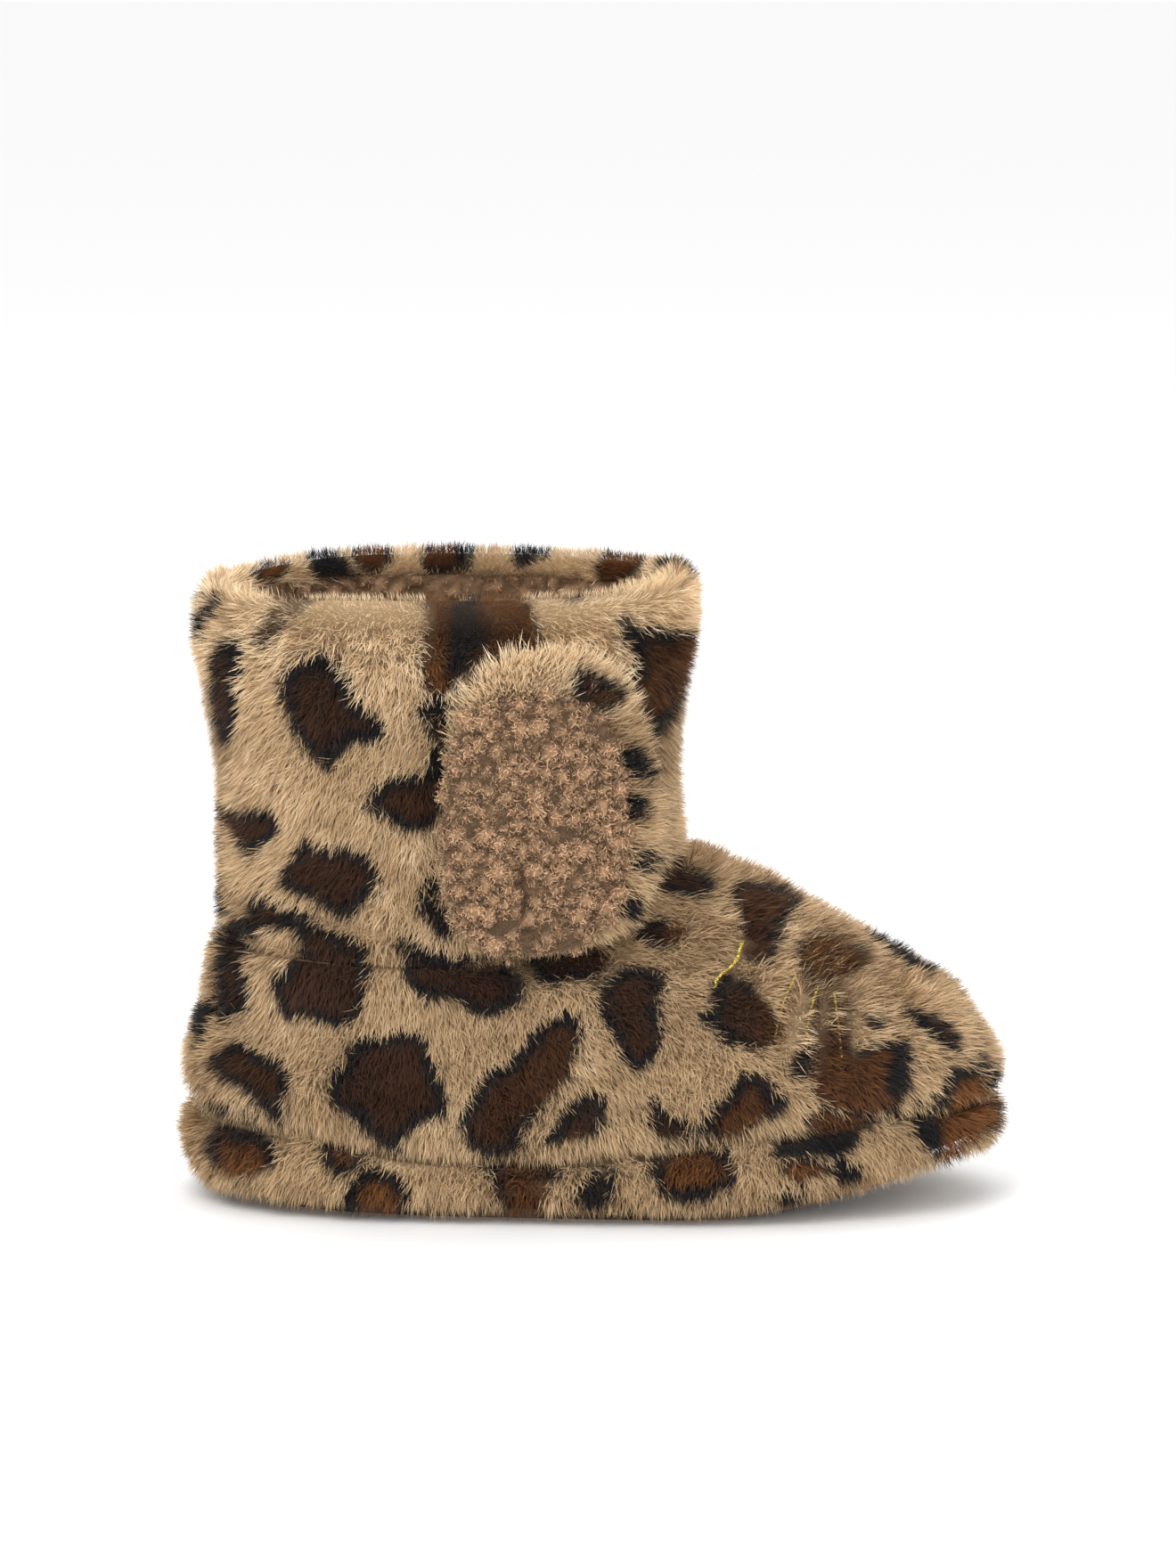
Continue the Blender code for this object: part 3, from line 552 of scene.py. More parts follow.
def store(mesh, name, values, kind="FLOAT"):
    """Stores numbers on a mesh's vertices."""
    attribute = mesh.attributes.new(name, kind, "POINT")
    slot = {"FLOAT": "value", "FLOAT_VECTOR": "vector", "FLOAT_COLOR": "color"}[kind]
    attribute.data.foreach_set(slot, np.asarray(values, dtype=np.float32).ravel())


def store_ground(mesh, colour):
    """Stores the colour of the cloth itself."""
    store(mesh, "ground", np.hstack([colour, np.ones((len(colour), 1))]), "FLOAT_COLOR")


def store_strands(mesh, nap, **numbers):
    """Stores on a cloth what its strands need to grow."""
    store(mesh, "nap", nap, "FLOAT_VECTOR")
    for name, values in numbers.items():
        store(mesh, name, values)


HAIR_NUMBERS = ("nap", "lean", "size", "pale", "dark", "warm", "density", "tone")


def drop_attributes(mesh, *names):
    """Deletes working numbers that the finished mesh doesn't need."""
    for name in names:
        if name in mesh.attributes:
            mesh.attributes.remove(mesh.attributes[name])


def eased(low, high, values):
    """0 below low, 1 above high and a smooth step between."""
    share = np.clip((values - low) / (high - low), 0, 1)
    return share * share * (3 - 2 * share)


def wavy_vectors(places, scale, seed, turns=(2.1, 3.7, 1.3)):
    """A smooth random direction at each place."""
    shift = Vector(seed * turn for turn in turns)
    return np.array([noise_vector(Vector(p) * scale + shift) for p in places])


def wavy(places, scale, seed):
    """A smooth random number from about -1 to 1 at each place."""
    return wavy_vectors(places, scale, seed, (3.1, 1.7, 2.3))[:, 0]


def unit(vectors, least=1e-9):
    """Vectors brought to a length of 1."""
    return vectors / np.maximum(np.linalg.norm(vectors, axis=1, keepdims=True), least)


def from_line(flat, start, end):
    """Each flat place's share of the way along a line, and its own way off the line."""
    start, way = np.array(start), np.array(end) - np.array(start)
    share = np.clip((flat - start) @ way / (way @ way), 0, 1)
    return share, flat - start - share[:, None] * way


def faces_inside(places, normals):
    """Whether each surface point looks into the shoe, and not out of it."""
    middle = np.clip(places[:, 0], -0.07, 0.04)
    axis = np.where(places[:, 2] > ANKLE_BACK_Z, SHAFT_CENTRE_X, middle)
    away = unit(np.stack([places[:, 0] - axis, places[:, 1]], 1))
    return (away * normals[:, :2]).sum(1) < -0.25


def crease_depth(places):
    """How deep the creases press each place in. Ridges count as less than nothing."""
    depth = np.zeros(len(places))
    for crease in CREASES:
        share, off = from_line(places[:, [0, 2]], crease[:2], crease[2:4])
        fade = 1 - np.abs(2 * share - 1) ** 3 * 0.6
        far = np.linalg.norm(off, axis=1)
        depth += crease.depth * fade * np.exp(-((far / crease.half_width) ** 2))
    return depth


def near_rim(places):
    """0 down the shaft and 1 at its rim."""
    return eased(RIM_TOP - 0.014, RIM_TOP - 0.003, places[:, 2])


def near_ends(places):
    """1 at the two ends of the opening on the near side, and 0 at its middle."""
    return eased(0.042, 0.070, np.abs(places[:, 0] - SHAFT_CENTRE_X)) * (places[:, 1] < 0.02)


def rim_pile(places):
    """How much of its length the pile keeps at the rim, which is fullest at its near ends."""
    least = np.where(places[:, 1] < 0, 0.58, 0.42)
    return 1 - near_rim(places) * least * (1 - 0.7 * near_ends(places))


def partings(places, zone):
    """The lean of the pile away from the foot's folds and face lines, and how near they are."""
    lean = np.zeros((len(places), 3))
    nearness = np.zeros(len(places))
    if zone != "foot":
        return lean, nearness
    for line in FACE_LINES:
        for start, end in zip(line.places, line.places[1:]):
            _, off = from_line(places[:, [0, 2]], start, end)
            far = np.linalg.norm(off, axis=1)
            near = np.exp(-((far / line.fold) ** 2))
            lean[:, [0, 2]] += off / np.maximum(far, 1e-6)[:, None] * (near * 0.6)[:, None]
            nearness = np.maximum(nearness, near)
    return lean, nearness


def sunk(mesh, outside, inside=None):
    """Moves a mesh's surface in along its normals: outer sides, and sides inside the shoe."""
    places, normals = places_and_normals(mesh)
    depth = np.full(len(places), outside)
    if inside is not None:
        inner = faces_inside(places, normals)
        depth[inner] = inside
        depth *= 1 - 0.5 * near_rim(places)
        depth += np.where(inner, 0, crease_depth(places))
    return move(mesh, places - normals * depth[:, None])


class Mark(NamedTuple):
    """A spot placed on the cloth: its middle, the cloth's normal there, and its outline."""

    middle: np.ndarray
    normal: np.ndarray
    outline: np.ndarray
    spot: Spot


def tangent_frame(normal):
    """Two directions in the cloth: level, and up."""
    normal = Vector(normal)
    level = Vector((0, 0, 1)).cross(normal)
    if level.length < 0.05:
        level = Vector((0, 1, 0))
    level.normalize()
    return np.array(level), np.array(normal.cross(level).normalized())


def rounded(outline):
    """An outline with its corners cut."""
    after = np.roll(outline, -1, 0)
    cut = np.empty((len(outline) * 2, 2))
    cut[0::2] = outline * 0.75 + after * 0.25
    cut[1::2] = outline * 0.25 + after * 0.75
    return cut


def charted_outline(spot):
    """A charted spot's outline in metres."""
    return rounded(np.array(spot.outline, dtype=float).reshape(-1, 2) * 0.001)


def random_outline(draw):
    """An irregular outline for a spot that isn't charted."""
    turn = draw.uniform(0, math.tau)
    long = draw.uniform(SCATTER.shortest, SCATTER.longest)
    wide = draw.uniform(SCATTER.narrowest, SCATTER.widest)
    points = []
    for k in range(10):
        angle = math.tau * k / 10
        along = long * draw.uniform(0.68, 1.2) * math.cos(angle)
        across = wide * draw.uniform(0.68, 1.2) * math.sin(angle)
        ahead = along * math.cos(turn) - across * math.sin(turn)
        points.append((ahead, along * math.sin(turn) + across * math.cos(turn)))
    return rounded(np.array(points))


def scattered_marks(places, normals, wanted, seed):
    """Spots of the same kind on cloth that the chart leaves bare."""
    draw = random.Random(seed)
    order = list(np.flatnonzero(wanted))
    draw.shuffle(order)
    marks, kept = [], []
    for k in order:
        gap = SCATTER.spacing * draw.uniform(0.9, 1.1)
        if kept and np.min(np.linalg.norm(np.array(kept) - places[k], axis=1)) < gap:
            continue
        kept.append(places[k])
        warmth = draw.choice((0.5, 0.55, 0.6, 0.85))
        way = draw.choice((None, None, draw.uniform(0, 360)))
        spot = Spot(draw.uniform(2.6, 3.6), warmth, (), 1, way)
        marks.append(Mark(places[k], normals[k], random_outline(draw), spot))
    return marks


def depth_inside(flat, outline):
    """How far inside a closed outline each flat place lies. Outside is less than nothing."""
    nearest = np.full(len(flat), np.inf)
    inside = np.zeros(len(flat), bool)
    for start, end in zip(outline, np.roll(outline, -1, 0)):
        way = end - start
        off = flat - start
        share = np.clip(off @ way / max(way @ way, 1e-12), 0, 1)
        nearest = np.minimum(nearest, ((off - share[:, None] * way) ** 2).sum(1))
        if start[1] == end[1]:
            continue
        crossed = (start[1] > flat[:, 1]) != (end[1] > flat[:, 1])
        inside ^= crossed & (off[:, 0] < way[0] * off[:, 1] / way[1])
    return np.where(inside, 1, -1) * np.sqrt(nearest)


SOFT_EDGE = 0.0012
MOST_RAGGED = 0.004


def ink(dark, warm, which, flat, outline, spot, ragged):
    """Prints one spot on the chosen places, over what they carry already."""
    low, high = outline.min(0) - MOST_RAGGED, outline.max(0) + MOST_RAGGED
    near = ((flat > low) & (flat < high)).all(1)
    which, flat = which[near], flat[near]
    if not len(which):
        return
    depth = depth_inside(flat, outline) + ragged[which]
    edge = eased(-SOFT_EDGE, SOFT_EDGE, depth) * spot.strength
    rim = spot.rim * 0.001
    if spot.open_way is not None:
        turn = math.radians(spot.open_way)
        facing = unit(flat - outline.mean(0)) @ (math.cos(turn), math.sin(turn))
        rim = rim * (1 - eased(0.3, 0.8, facing))
    core = eased(rim - 0.0009, rim + 0.0013, depth) * spot.warmth
    before = dark[which] * (1 - edge)
    warm[which] = (warm[which] * before + core * edge) / np.maximum(before + edge, 1e-6)
    dark[which] = np.maximum(dark[which], edge)


def in_picture(places):
    """Where places stand in the upright picture through the shoe's middle."""
    up, ahead = (np.array(way) for way in picture_axes())
    eye = np.array(camera_place())
    off = places - eye
    share = -(eye @ ahead) / (off @ ahead)
    return np.stack([eye[0] + off[:, 0] * share, eye @ up + (off @ up) * share], 1)


def to_camera(places, normals):
    """How squarely each place faces the camera, from -1 to 1."""
    way = np.array(camera_place()) - places
    return (normals * way).sum(1) / np.linalg.norm(way, axis=1)


LEAST_FACING = -0.12
SIDES_MEET_Y = 0.001
CREST_READ_AT = 0.190


def regions(places, normals):
    """Which points lie in each region that a chart can be printed on."""
    inside = faces_inside(places, normals)
    seen = to_camera(places, normals) > LEAST_FACING
    near = places[:, 1] < SIDES_MEET_Y
    turned = (normals[:, 2] > 0.3) & (places[:, 2] > RIM_TOP - 0.010)
    return {
        "near": near & seen & ~inside,
        "near crest": near & (places[:, 2] > RIM_TOP - 0.020) & (inside | ~seen),
        "near, any way": near & seen,
        "far": ~near & seen & ~inside,
        "far facing": ~near & (inside | turned),
        "far, any way": ~near & seen,
    }


# For each node, its regions, the spots on each, and a height to read the chart at, if it isn't
# read where the places stand.
CHARTS = {
    "shaft": [
        ("near", NEAR_PRINT, None),
        ("near crest", NEAR_PRINT, CREST_READ_AT),
        ("far", FAR_PRINT, None),
        ("far facing", FACING_PRINT, None),
    ],
    "foot_upper": [("near", NEAR_PRINT, None), ("far", FAR_PRINT, None)],
    "sole_band": [("near, any way", BAND_PRINT, None), ("far, any way", [], None)],
    "ear_right_plush": [("near, any way", EAR_PRINT, None)],
    "ear_left_plush": [],
}
MARK_REACH = 0.022


def uncharted(places, normals, node):
    """Which places none of the node's charts covers."""
    parts = regions(places, normals)
    bare = np.ones(len(places), bool)
    for region, _, _ in CHARTS[node]:
        bare &= ~parts[region]
    return bare


def print_at(places, normals, node, marks):
    """How dark the print is at each place, and how warm its dark is."""
    dark, warm = np.zeros((2, len(places)))
    ragged = (wavy(places, 170, 1) * 1.5 + wavy(places, 520, 2) * 0.9) * 0.001
    flat = in_picture(places)
    parts = regions(places, normals)
    for region, spots, height in CHARTS[node]:
        which = np.flatnonzero(parts[region])
        read = flat[which]
        if height is not None:
            read[:, 1] = height
        for spot in spots:
            ink(dark, warm, which, read, charted_outline(spot), spot, ragged)
    bare = uncharted(places, normals, node)
    for mark in marks:
        off = places - mark.middle
        near = np.linalg.norm(off, axis=1) < MARK_REACH
        which = np.flatnonzero(bare & near & (normals @ mark.normal > 0.05))
        level, upright = tangent_frame(mark.normal)
        around = np.stack([off[which] @ level, off[which] @ upright], 1)
        ink(dark, warm, which, around, mark.outline, mark.spot, ragged)
    return dark, warm


BUMP_HEIGHT = 0.0006


class Nodes:
    """Adds nodes to a tree, in a row. A value that is another node's output is linked."""

    def __init__(self, tree):
        self.tree = tree

    def feed(self, socket, value):
        """Links or sets a socket. It stays as it is when the value is None."""
        if isinstance(value, bpy.types.NodeSocket):
            self.tree.links.new(value, socket)
        elif value is not None:
            socket.default_value = value

    def add(self, kind, *values, **named):
        """A new node. Named values that aren't sockets are set as the node's own options."""
        node = self.tree.nodes.new(kind)
        node.location.x = 200 * len(self.tree.nodes)
        for name, value in named.items():
            if name in node.bl_rna.properties:
                setattr(node, name, value)
            else:
                self.feed(node.inputs[name.replace("_", " ")], value)
        for socket, value in zip(node.inputs, values):
            self.feed(socket, value)
        return node

    def math(self, operation, *values):
        """A number worked out from others."""
        return self.add("ShaderNodeMath", *values, operation=operation).outputs[0]

    def vector(self, operation, *values, **named):
        """A direction worked out from others."""
        return self.add("ShaderNodeVectorMath", *values, operation=operation, **named).outputs[0]

    def random(self, low, high, seed):
        """A random number for each strand."""
        node = self.add("FunctionNodeRandomValue", None, None, low, high, data_type="FLOAT")
        node.inputs["Seed"].default_value = seed
        return node.outputs[1]

    def attribute(self, name, kind="FLOAT"):
        """Reads a named attribute of the cloth."""
        return self.add("GeometryNodeInputNamedAttribute", name, data_type=kind).outputs[0]

    def ramp(self, place, stops):
        """A colour ramp with the given (place, colour) stops."""
        node = self.add("ShaderNodeValToRGB", place)
        elements = node.color_ramp.elements
        while len(elements) < len(stops):
            elements.new(0.5)
        for element, (position, colour) in zip(elements, stops):
            element.position = position
            element.color = (*colour, 1.0)
        return node.outputs[0]

    def mix(self, share, first, second, **options):
        """Two colours mixed."""
        node = self.add("ShaderNodeMix", share, data_type="RGBA", **options)
        self.feed(node.inputs[6], first)
        self.feed(node.inputs[7], second)
        return node.outputs[2]

    def noise(self, scale, detail):
        """Noise in the object's own space."""
        place = self.add("ShaderNodeTexCoord").outputs["Object"]
        node = self.add("ShaderNodeTexNoise", Vector=place, Scale=scale, Detail=detail)
        return node.outputs["Fac"]

    def bump(self, height, strength):
        """A relief on the surface."""
        node = self.add("ShaderNodeBump", Strength=strength, Distance=BUMP_HEIGHT, Height=height)
        return node.outputs[0]


def new_tree(name, inputs):
    """A Geometry Nodes group with named inputs: its nodes, its inputs and its output."""
    tree = bpy.data.node_groups.new(name, "GeometryNodeTree")
    face = tree.interface
    face.new_socket("Geometry", in_out="INPUT", socket_type="NodeSocketGeometry")
    for label, kind in inputs.items():
        face.new_socket(label, in_out="INPUT", socket_type="NodeSocket" + kind)
    face.new_socket("Geometry", in_out="OUTPUT", socket_type="NodeSocketGeometry")
    nodes = Nodes(tree)
    return nodes, nodes.add("NodeGroupInput").outputs, nodes.add("NodeGroupOutput").inputs[0]


STRAND_INPUTS = {
    "Density": "Float",
    "Strand Length": "Float",
    "Length Variation": "Float",
    "Lean Variation": "Float",
    "Clump Size": "Float",
    "Clumping": "Float",
    "Scatter": "Float",
    "Seed": "Int",
    "Strands": "Collection",
    "Material": "Material",
}
KINDS = 5


def strand_tree():
    """Grows strands on cloth: fur, or the curls of sherpa.

    The cloth's own numbers say where: density, size, lean, nap, pale, dark and warm.
    """
    nodes, inputs, output = new_tree("Strands on cloth", STRAND_INPUTS)
    scatter = nodes.add(
        "GeometryNodeDistributePointsOnFaces",
        distribute_method="RANDOM",
        Mesh=inputs["Geometry"],
        Density=nodes.math("MULTIPLY", inputs["Density"], nodes.attribute("density")),
        Seed=inputs["Seed"],
    )

    clumps = nodes.add(
        "ShaderNodeTexNoise",
        Vector=nodes.add("GeometryNodeInputPosition").outputs[0],
        Scale=nodes.math("DIVIDE", 1.0, inputs["Clump Size"]),
        Detail=1.0,
    )
    clump = nodes.vector("SUBTRACT", clumps.outputs["Color"], (0.5, 0.5, 0.5))
    clump = nodes.vector("SCALE", clump, Scale=inputs["Clumping"])
    astray = nodes.add("FunctionNodeRandomValue", (-1, -1, -1), (1, 1, 1), data_type="FLOAT_VECTOR")
    stray = nodes.vector("SCALE", astray.outputs[0], Scale=inputs["Scatter"])
    way = nodes.vector("ADD", nodes.attribute("nap", "FLOAT_VECTOR"), clump)
    way = nodes.vector("ADD", way, stray)
    stood = nodes.add(
        "FunctionNodeAlignRotationToVector", axis="Z", Vector=scatter.outputs["Normal"]
    )
    combed = nodes.add(
        "FunctionNodeAlignRotationToVector",
        axis="X",
        pivot_axis="Z",
        Rotation=stood.outputs[0],
        Vector=way,
    )

    clump_lean = nodes.add("ShaderNodeSeparateXYZ", clump).outputs
    spread = nodes.math("MULTIPLY", inputs["Lean Variation"], nodes.random(-0.5, 0.5, 3))
    kind = nodes.math("MULTIPLY", nodes.attribute("lean"), KINDS - 1)
    kind = nodes.math("ADD", kind, spread)
    kind = nodes.math("ADD", kind, nodes.math("MULTIPLY", clump_lean[2], 4.0))
    kind = nodes.math("MAXIMUM", kind, 0.0)
    kind = nodes.math("MINIMUM", kind, KINDS - 1)

    longer = nodes.math("MULTIPLY", inputs["Length Variation"], nodes.random(-1, 1, 5))
    length = nodes.math("ADD", 1.0, longer)
    length = nodes.math("MULTIPLY", length, nodes.attribute("size"))
    length = nodes.math("MULTIPLY", length, inputs["Strand Length"])

    # A strand's tone is its place on the ramp of inks: the tans below 0.5, and the print above.
    is_dark = nodes.math("LESS_THAN", nodes.random(0.1, 0.9, 11), nodes.attribute("dark"))
    ground = nodes.math("MULTIPLY_ADD", clump_lean[1], 0.50, nodes.random(0.09, 0.33, 12))
    # The cloth's pale shifts the tan: random tone, painted light near rims and on tops, and painted
    # shade in creases and hollows.
    ground = nodes.math("ADD", ground, nodes.attribute("pale"))
    ground = nodes.math("MINIMUM", ground, 0.47)
    ground = nodes.math("MAXIMUM", ground, 0.02)
    shade = nodes.math("MULTIPLY", nodes.attribute("warm"), 0.36)
    shade = nodes.math("ADD", shade, nodes.random(0.53, 0.63, 13))
    step = nodes.math("MULTIPLY", nodes.math("SUBTRACT", shade, ground), is_dark)
    toned = nodes.add(
        "GeometryNodeStoreNamedAttribute",
        data_type="FLOAT",
        domain="POINT",
        Name="tone",
        Geometry=scatter.outputs["Points"],
        Value=nodes.math("ADD", ground, step),
    )

    kinds = nodes.add(
        "GeometryNodeCollectionInfo",
        Collection=inputs["Strands"],
        Separate_Children=True,
        Reset_Children=True,
    )
    strands = nodes.add(
        "GeometryNodeInstanceOnPoints",
        Points=toned.outputs[0],
        Instance=kinds.outputs[0],
        Pick_Instance=True,
        Instance_Index=kind,
        Rotation=combed.outputs[0],
        Scale=length,
    )
    own_map = nodes.add("ShaderNodeSeparateXYZ", nodes.attribute(MAP, "FLOAT_VECTOR")).outputs
    sideways = nodes.math("MULTIPLY_ADD", own_map[0], 0.01, -0.005)
    tone = nodes.math("ADD", sideways, nodes.attribute("tone"))
    mapped = nodes.add(
        "GeometryNodeStoreNamedAttribute",
        data_type="FLOAT2",
        domain="CORNER",
        Name=MAP,
        Geometry=nodes.add("GeometryNodeRealizeInstances", strands.outputs[0]).outputs[0],
        Value=nodes.add("ShaderNodeCombineXYZ", tone, own_map[1]).outputs[0],
    )
    painted = nodes.add(
        "GeometryNodeSetMaterial", Geometry=mapped.outputs[0], Material=inputs["Material"]
    )
    nodes.feed(output, painted.outputs[0])
    return nodes.tree


def strand_kinds(name, paths, width):
    """A hidden collection of flat, tapering strands of unit length, one for each path.

    A path is points as (along the nap, aside, up), and width is a share of the length.
    """
    group = bpy.data.collections.new(name)
    bpy.context.scene.collection.children.link(group)
    for k, path in enumerate(paths):
        builder = bmesh.new()
        layer = builder.loops.layers.uv.new(MAP)
        rows = []
        places = {}
        for j, (along, aside, up) in enumerate(path):
            share = j / (len(path) - 1)
            half = width * (1 - abs(2 * share - 1) ** 3) / 2
            sides = (-1, 1) if 0 < share < 1 else (0,)
            rows.append([builder.verts.new((along, aside + side * half, up)) for side in sides])
            for side, vertex in zip(sides, rows[-1]):
                places[vertex] = ((side + 1) / 2, 0.02 + 0.96 * share)
        for low, high in zip(rows, rows[1:]):
            face = builder.faces.new([*low, *reversed(high)])
            for loop in face.loops:
                loop[layer].uv = places[loop.vert]
        group.objects.link(bpy.data.objects.new(f"{name}_{k}", mesh_of(builder, name)))
    group.hide_render = True
    return group


def fur_path(k):
    """A bent hair, from upright in the first kind to lying along the nap in the last."""
    start, end = math.radians(6 + 9 * k), math.radians(28 + 14 * k)
    low, high = start * 0.75 + end * 0.25, start * 0.25 + end * 0.75
    middle = (math.sin(low) / 2, 0.0, math.cos(low) / 2)
    tip = (middle[0] + math.sin(high) / 2, 0.0, middle[2] + math.cos(high) / 2)
    return [(0, 0, 0), middle, tip]


def curl_path(k):
    """A curled hair: an open loop that leans its own way in each kind."""
    turns = 0.50 + 0.07 * k
    radius = 0.32 - 0.02 * k
    path = []
    for j in range(5):
        angle = math.tau * turns * j / 4 - 0.5
        along = radius * (math.cos(angle) - math.cos(-0.5))
        up = radius * (math.sin(angle) - math.sin(-0.5)) * 0.85
        path.append((along, 0.16 * math.sin(angle * 0.8 + k), up + 0.06 * j))
    return path


def fur_kinds():
    """The hairs that the plush is grown from."""
    pile = settings("pile")
    return strand_kinds("fur_kind", [fur_path(k) for k in range(KINDS)], pile.width / pile.length)


def curl_kinds():
    """The curls that the sherpa is grown from."""
    return strand_kinds("curl_kind", [curl_path(k) for k in range(KINDS)], 0.105)


LOWEST_HAIR = 0.0004


def fur_values(seed, share=1.0):
    """Inputs of the strand tree for plush."""
    pile = settings("pile")
    return {
        "Density": pile.density * 1e6 * share,
        "Strand Length": pile.length,
        "Length Variation": 0.2,
        "Lean Variation": 2.0,
        "Clump Size": 0.0040,
        "Clumping": 0.75,
        "Scatter": 0.30,
        "Seed": seed,
        "Strands": shared("fur kinds", fur_kinds),
        "Material": shared("fur", fur_material),
    }


def curl_values(seed, share=1.0):
    """Inputs of the strand tree for sherpa."""
    sherpa = settings("sherpa")
    return {
        "Density": sherpa.density * 1e6 * share,
        "Strand Length": sherpa.curl,
        "Length Variation": 0.3,
        "Lean Variation": 4.0,
        "Clump Size": 0.003,
        "Clumping": 0.5,
        "Scatter": 4.0,
        "Seed": seed,
        "Strands": shared("curl kinds", curl_kinds),
        "Material": shared("curls", curl_material),
    }


def grow_strands(cloth, name, slot, values):
    """Grows fur or curls as a finished piece, kept off the floor. The cloth is used up."""
    mesh = grown(new_piece(name + "_cloth", cloth), shared("strands", strand_tree), values)
    mesh.name = name
    places, _ = places_and_normals(mesh)
    places[:, 2] = np.maximum(places[:, 2], LOWEST_HAIR)
    move(mesh, places)
    drop_attributes(mesh, *HAIR_NUMBERS, "ground")
    finished(new_piece(name, mesh), slot)


def tinted(colour, shares):
    """A colour with each of its parts made darker by its own share."""
    return tuple(part * share for part, share in zip(colour, shares))


def shaded(colour, share):
    """A colour made darker or lighter by a share."""
    return tuple(min(1.0, part * share) for part in colour)


def new_material(name, roughness, specular=0.3, sheen=0.0):
    """A material, its nodes and its shader's inputs."""
    material = bpy.data.materials.new(name)
    material.use_nodes = True
    shader = material.node_tree.nodes["Principled BSDF"].inputs
    shader["Roughness"].default_value = roughness
    shader["Specular IOR Level"].default_value = specular
    shader["Sheen Weight"].default_value = sheen
    shader["Sheen Roughness"].default_value = 0.5
    return material, Nodes(material.node_tree), shader


def strand_material(name, surface, inks, depths):
    """A strand's material: its tone picks the ink, and its root is darker than its tip, painted
    shade deep in the pile.
    """
    material, nodes, shader = new_material(name, *surface)
    own_map = nodes.add("ShaderNodeUVMap", uv_map=MAP).outputs[0]
    tone, way, _ = nodes.add("ShaderNodeSeparateXYZ", own_map).outputs
    ink_colour, depth = nodes.ramp(tone, inks), nodes.ramp(way, depths)
    nodes.feed(shader["Base Color"], nodes.mix(1.0, ink_colour, depth, blend_type="MULTIPLY"))
    return material


def fur_material():
    """Printed plush hair."""
    pile = settings("pile")
    inks = [
        (0.00, tinted(pile.tan, (0.60, 0.52, 0.42))),
        (0.16, pile.tan),
        (0.32, shaded(pile.tan, 1.18)),
        (0.46, pile.pale),
        (0.50, pile.pale),
        (0.52, pile.black),
        (0.64, pile.black),
        (0.80, pile.brown),
        (0.96, pile.rust),
    ]
    # Painted shade: each hair darker towards its root and lightest at its tip.
    depths = [(0.0, (0.66, 0.62, 0.58)), (0.5, (0.94, 0.92, 0.90)), (1.0, (1.1, 1.1, 1.1))]
    return strand_material("leopard_fur", (0.65, 0.18, 0.06), inks, depths)


def curl_material():
    """Brown sherpa curls, each of its own lightness, with painted highlights on the knots' tops and
    painted shade for curls in the hollows.
    """
    # Tones below 0.5 are the wool, up to a painted highlight for the knots' tops; tones above are
    # painted shade for curls in the hollows.
    shades = [(0.0, 0.75), (0.2, 1.1), (0.46, 1.8), (0.52, 0.55), (0.96, 0.30)]
    wool = [(tone, shaded(settings("sherpa").colour, share)) for tone, share in shades]
    # Painted shade: each curl darker towards its root.
    depths = [(0.0, (0.35, 0.33, 0.31)), (0.4, (0.8, 0.78, 0.76)), (1.0, (1, 1, 1))]
    return strand_material("sherpa_curls", (0.7, 0.25, 0.2), wool, depths)


def cloth_material():
    """The knitted ground under the pile. Its colour is stored on it as ground."""
    material, nodes, shader = new_material("pile_ground", 0.95, 0.1)
    ground = nodes.add("ShaderNodeAttribute", attribute_name="ground")
    nodes.feed(shader["Base Color"], ground.outputs["Color"])
    nodes.feed(shader["Normal"], nodes.bump(nodes.noise(900.0, 2.0), 0.6))
    return material


def thread_material():
    """Metallic gold thread with a fine twist, its colour mottled by noise into painted glints and
    dark gaps.
    """
    gold = settings("thread").colour
    material, nodes, shader = new_material("gold_thread", 0.34, 0.5)
    shader["Metallic"].default_value = 0.75
    # Painted highlight and shade: noise between a dark and a bright gold.
    stops = [(0.40, shaded(gold, 0.28)), (0.60, shaded(gold, 1.35))]
    nodes.feed(shader["Base Color"], nodes.ramp(nodes.noise(1400.0, 1.0), stops))
    return material


def sole_material():
    """Brown textile with small grip dots."""
    material, nodes, shader = new_material("sole_cloth", 0.85, 0.25)
    place = nodes.add("ShaderNodeTexCoord").outputs["Object"]
    dots = nodes.add("ShaderNodeTexVoronoi", Vector=place, Scale=180.0, Randomness=0.0)
    dot = nodes.ramp(dots.outputs["Distance"], [(0.26, (1, 1, 1)), (0.34, (0, 0, 0))])
    colour = nodes.mix(dot, (0.16, 0.105, 0.065, 1), (0.05, 0.035, 0.025, 1))
    height = nodes.math("MULTIPLY_ADD", nodes.noise(1200.0, 3.0), 0.25, dot)
    nodes.feed(shader["Base Color"], colour)
    nodes.feed(shader["Normal"], nodes.bump(height, 0.8))
    return material


PLUSH_ZONES = {"shaft": "shaft", "foot_upper": "foot", "sole_band": "band"}
ZONE_PALENESS = {"shaft": 0.04, "foot": 0.0, "band": -0.02}
FACING_DEPTH = 0.009
INNER_ROOT_DEPTH = 0.0015


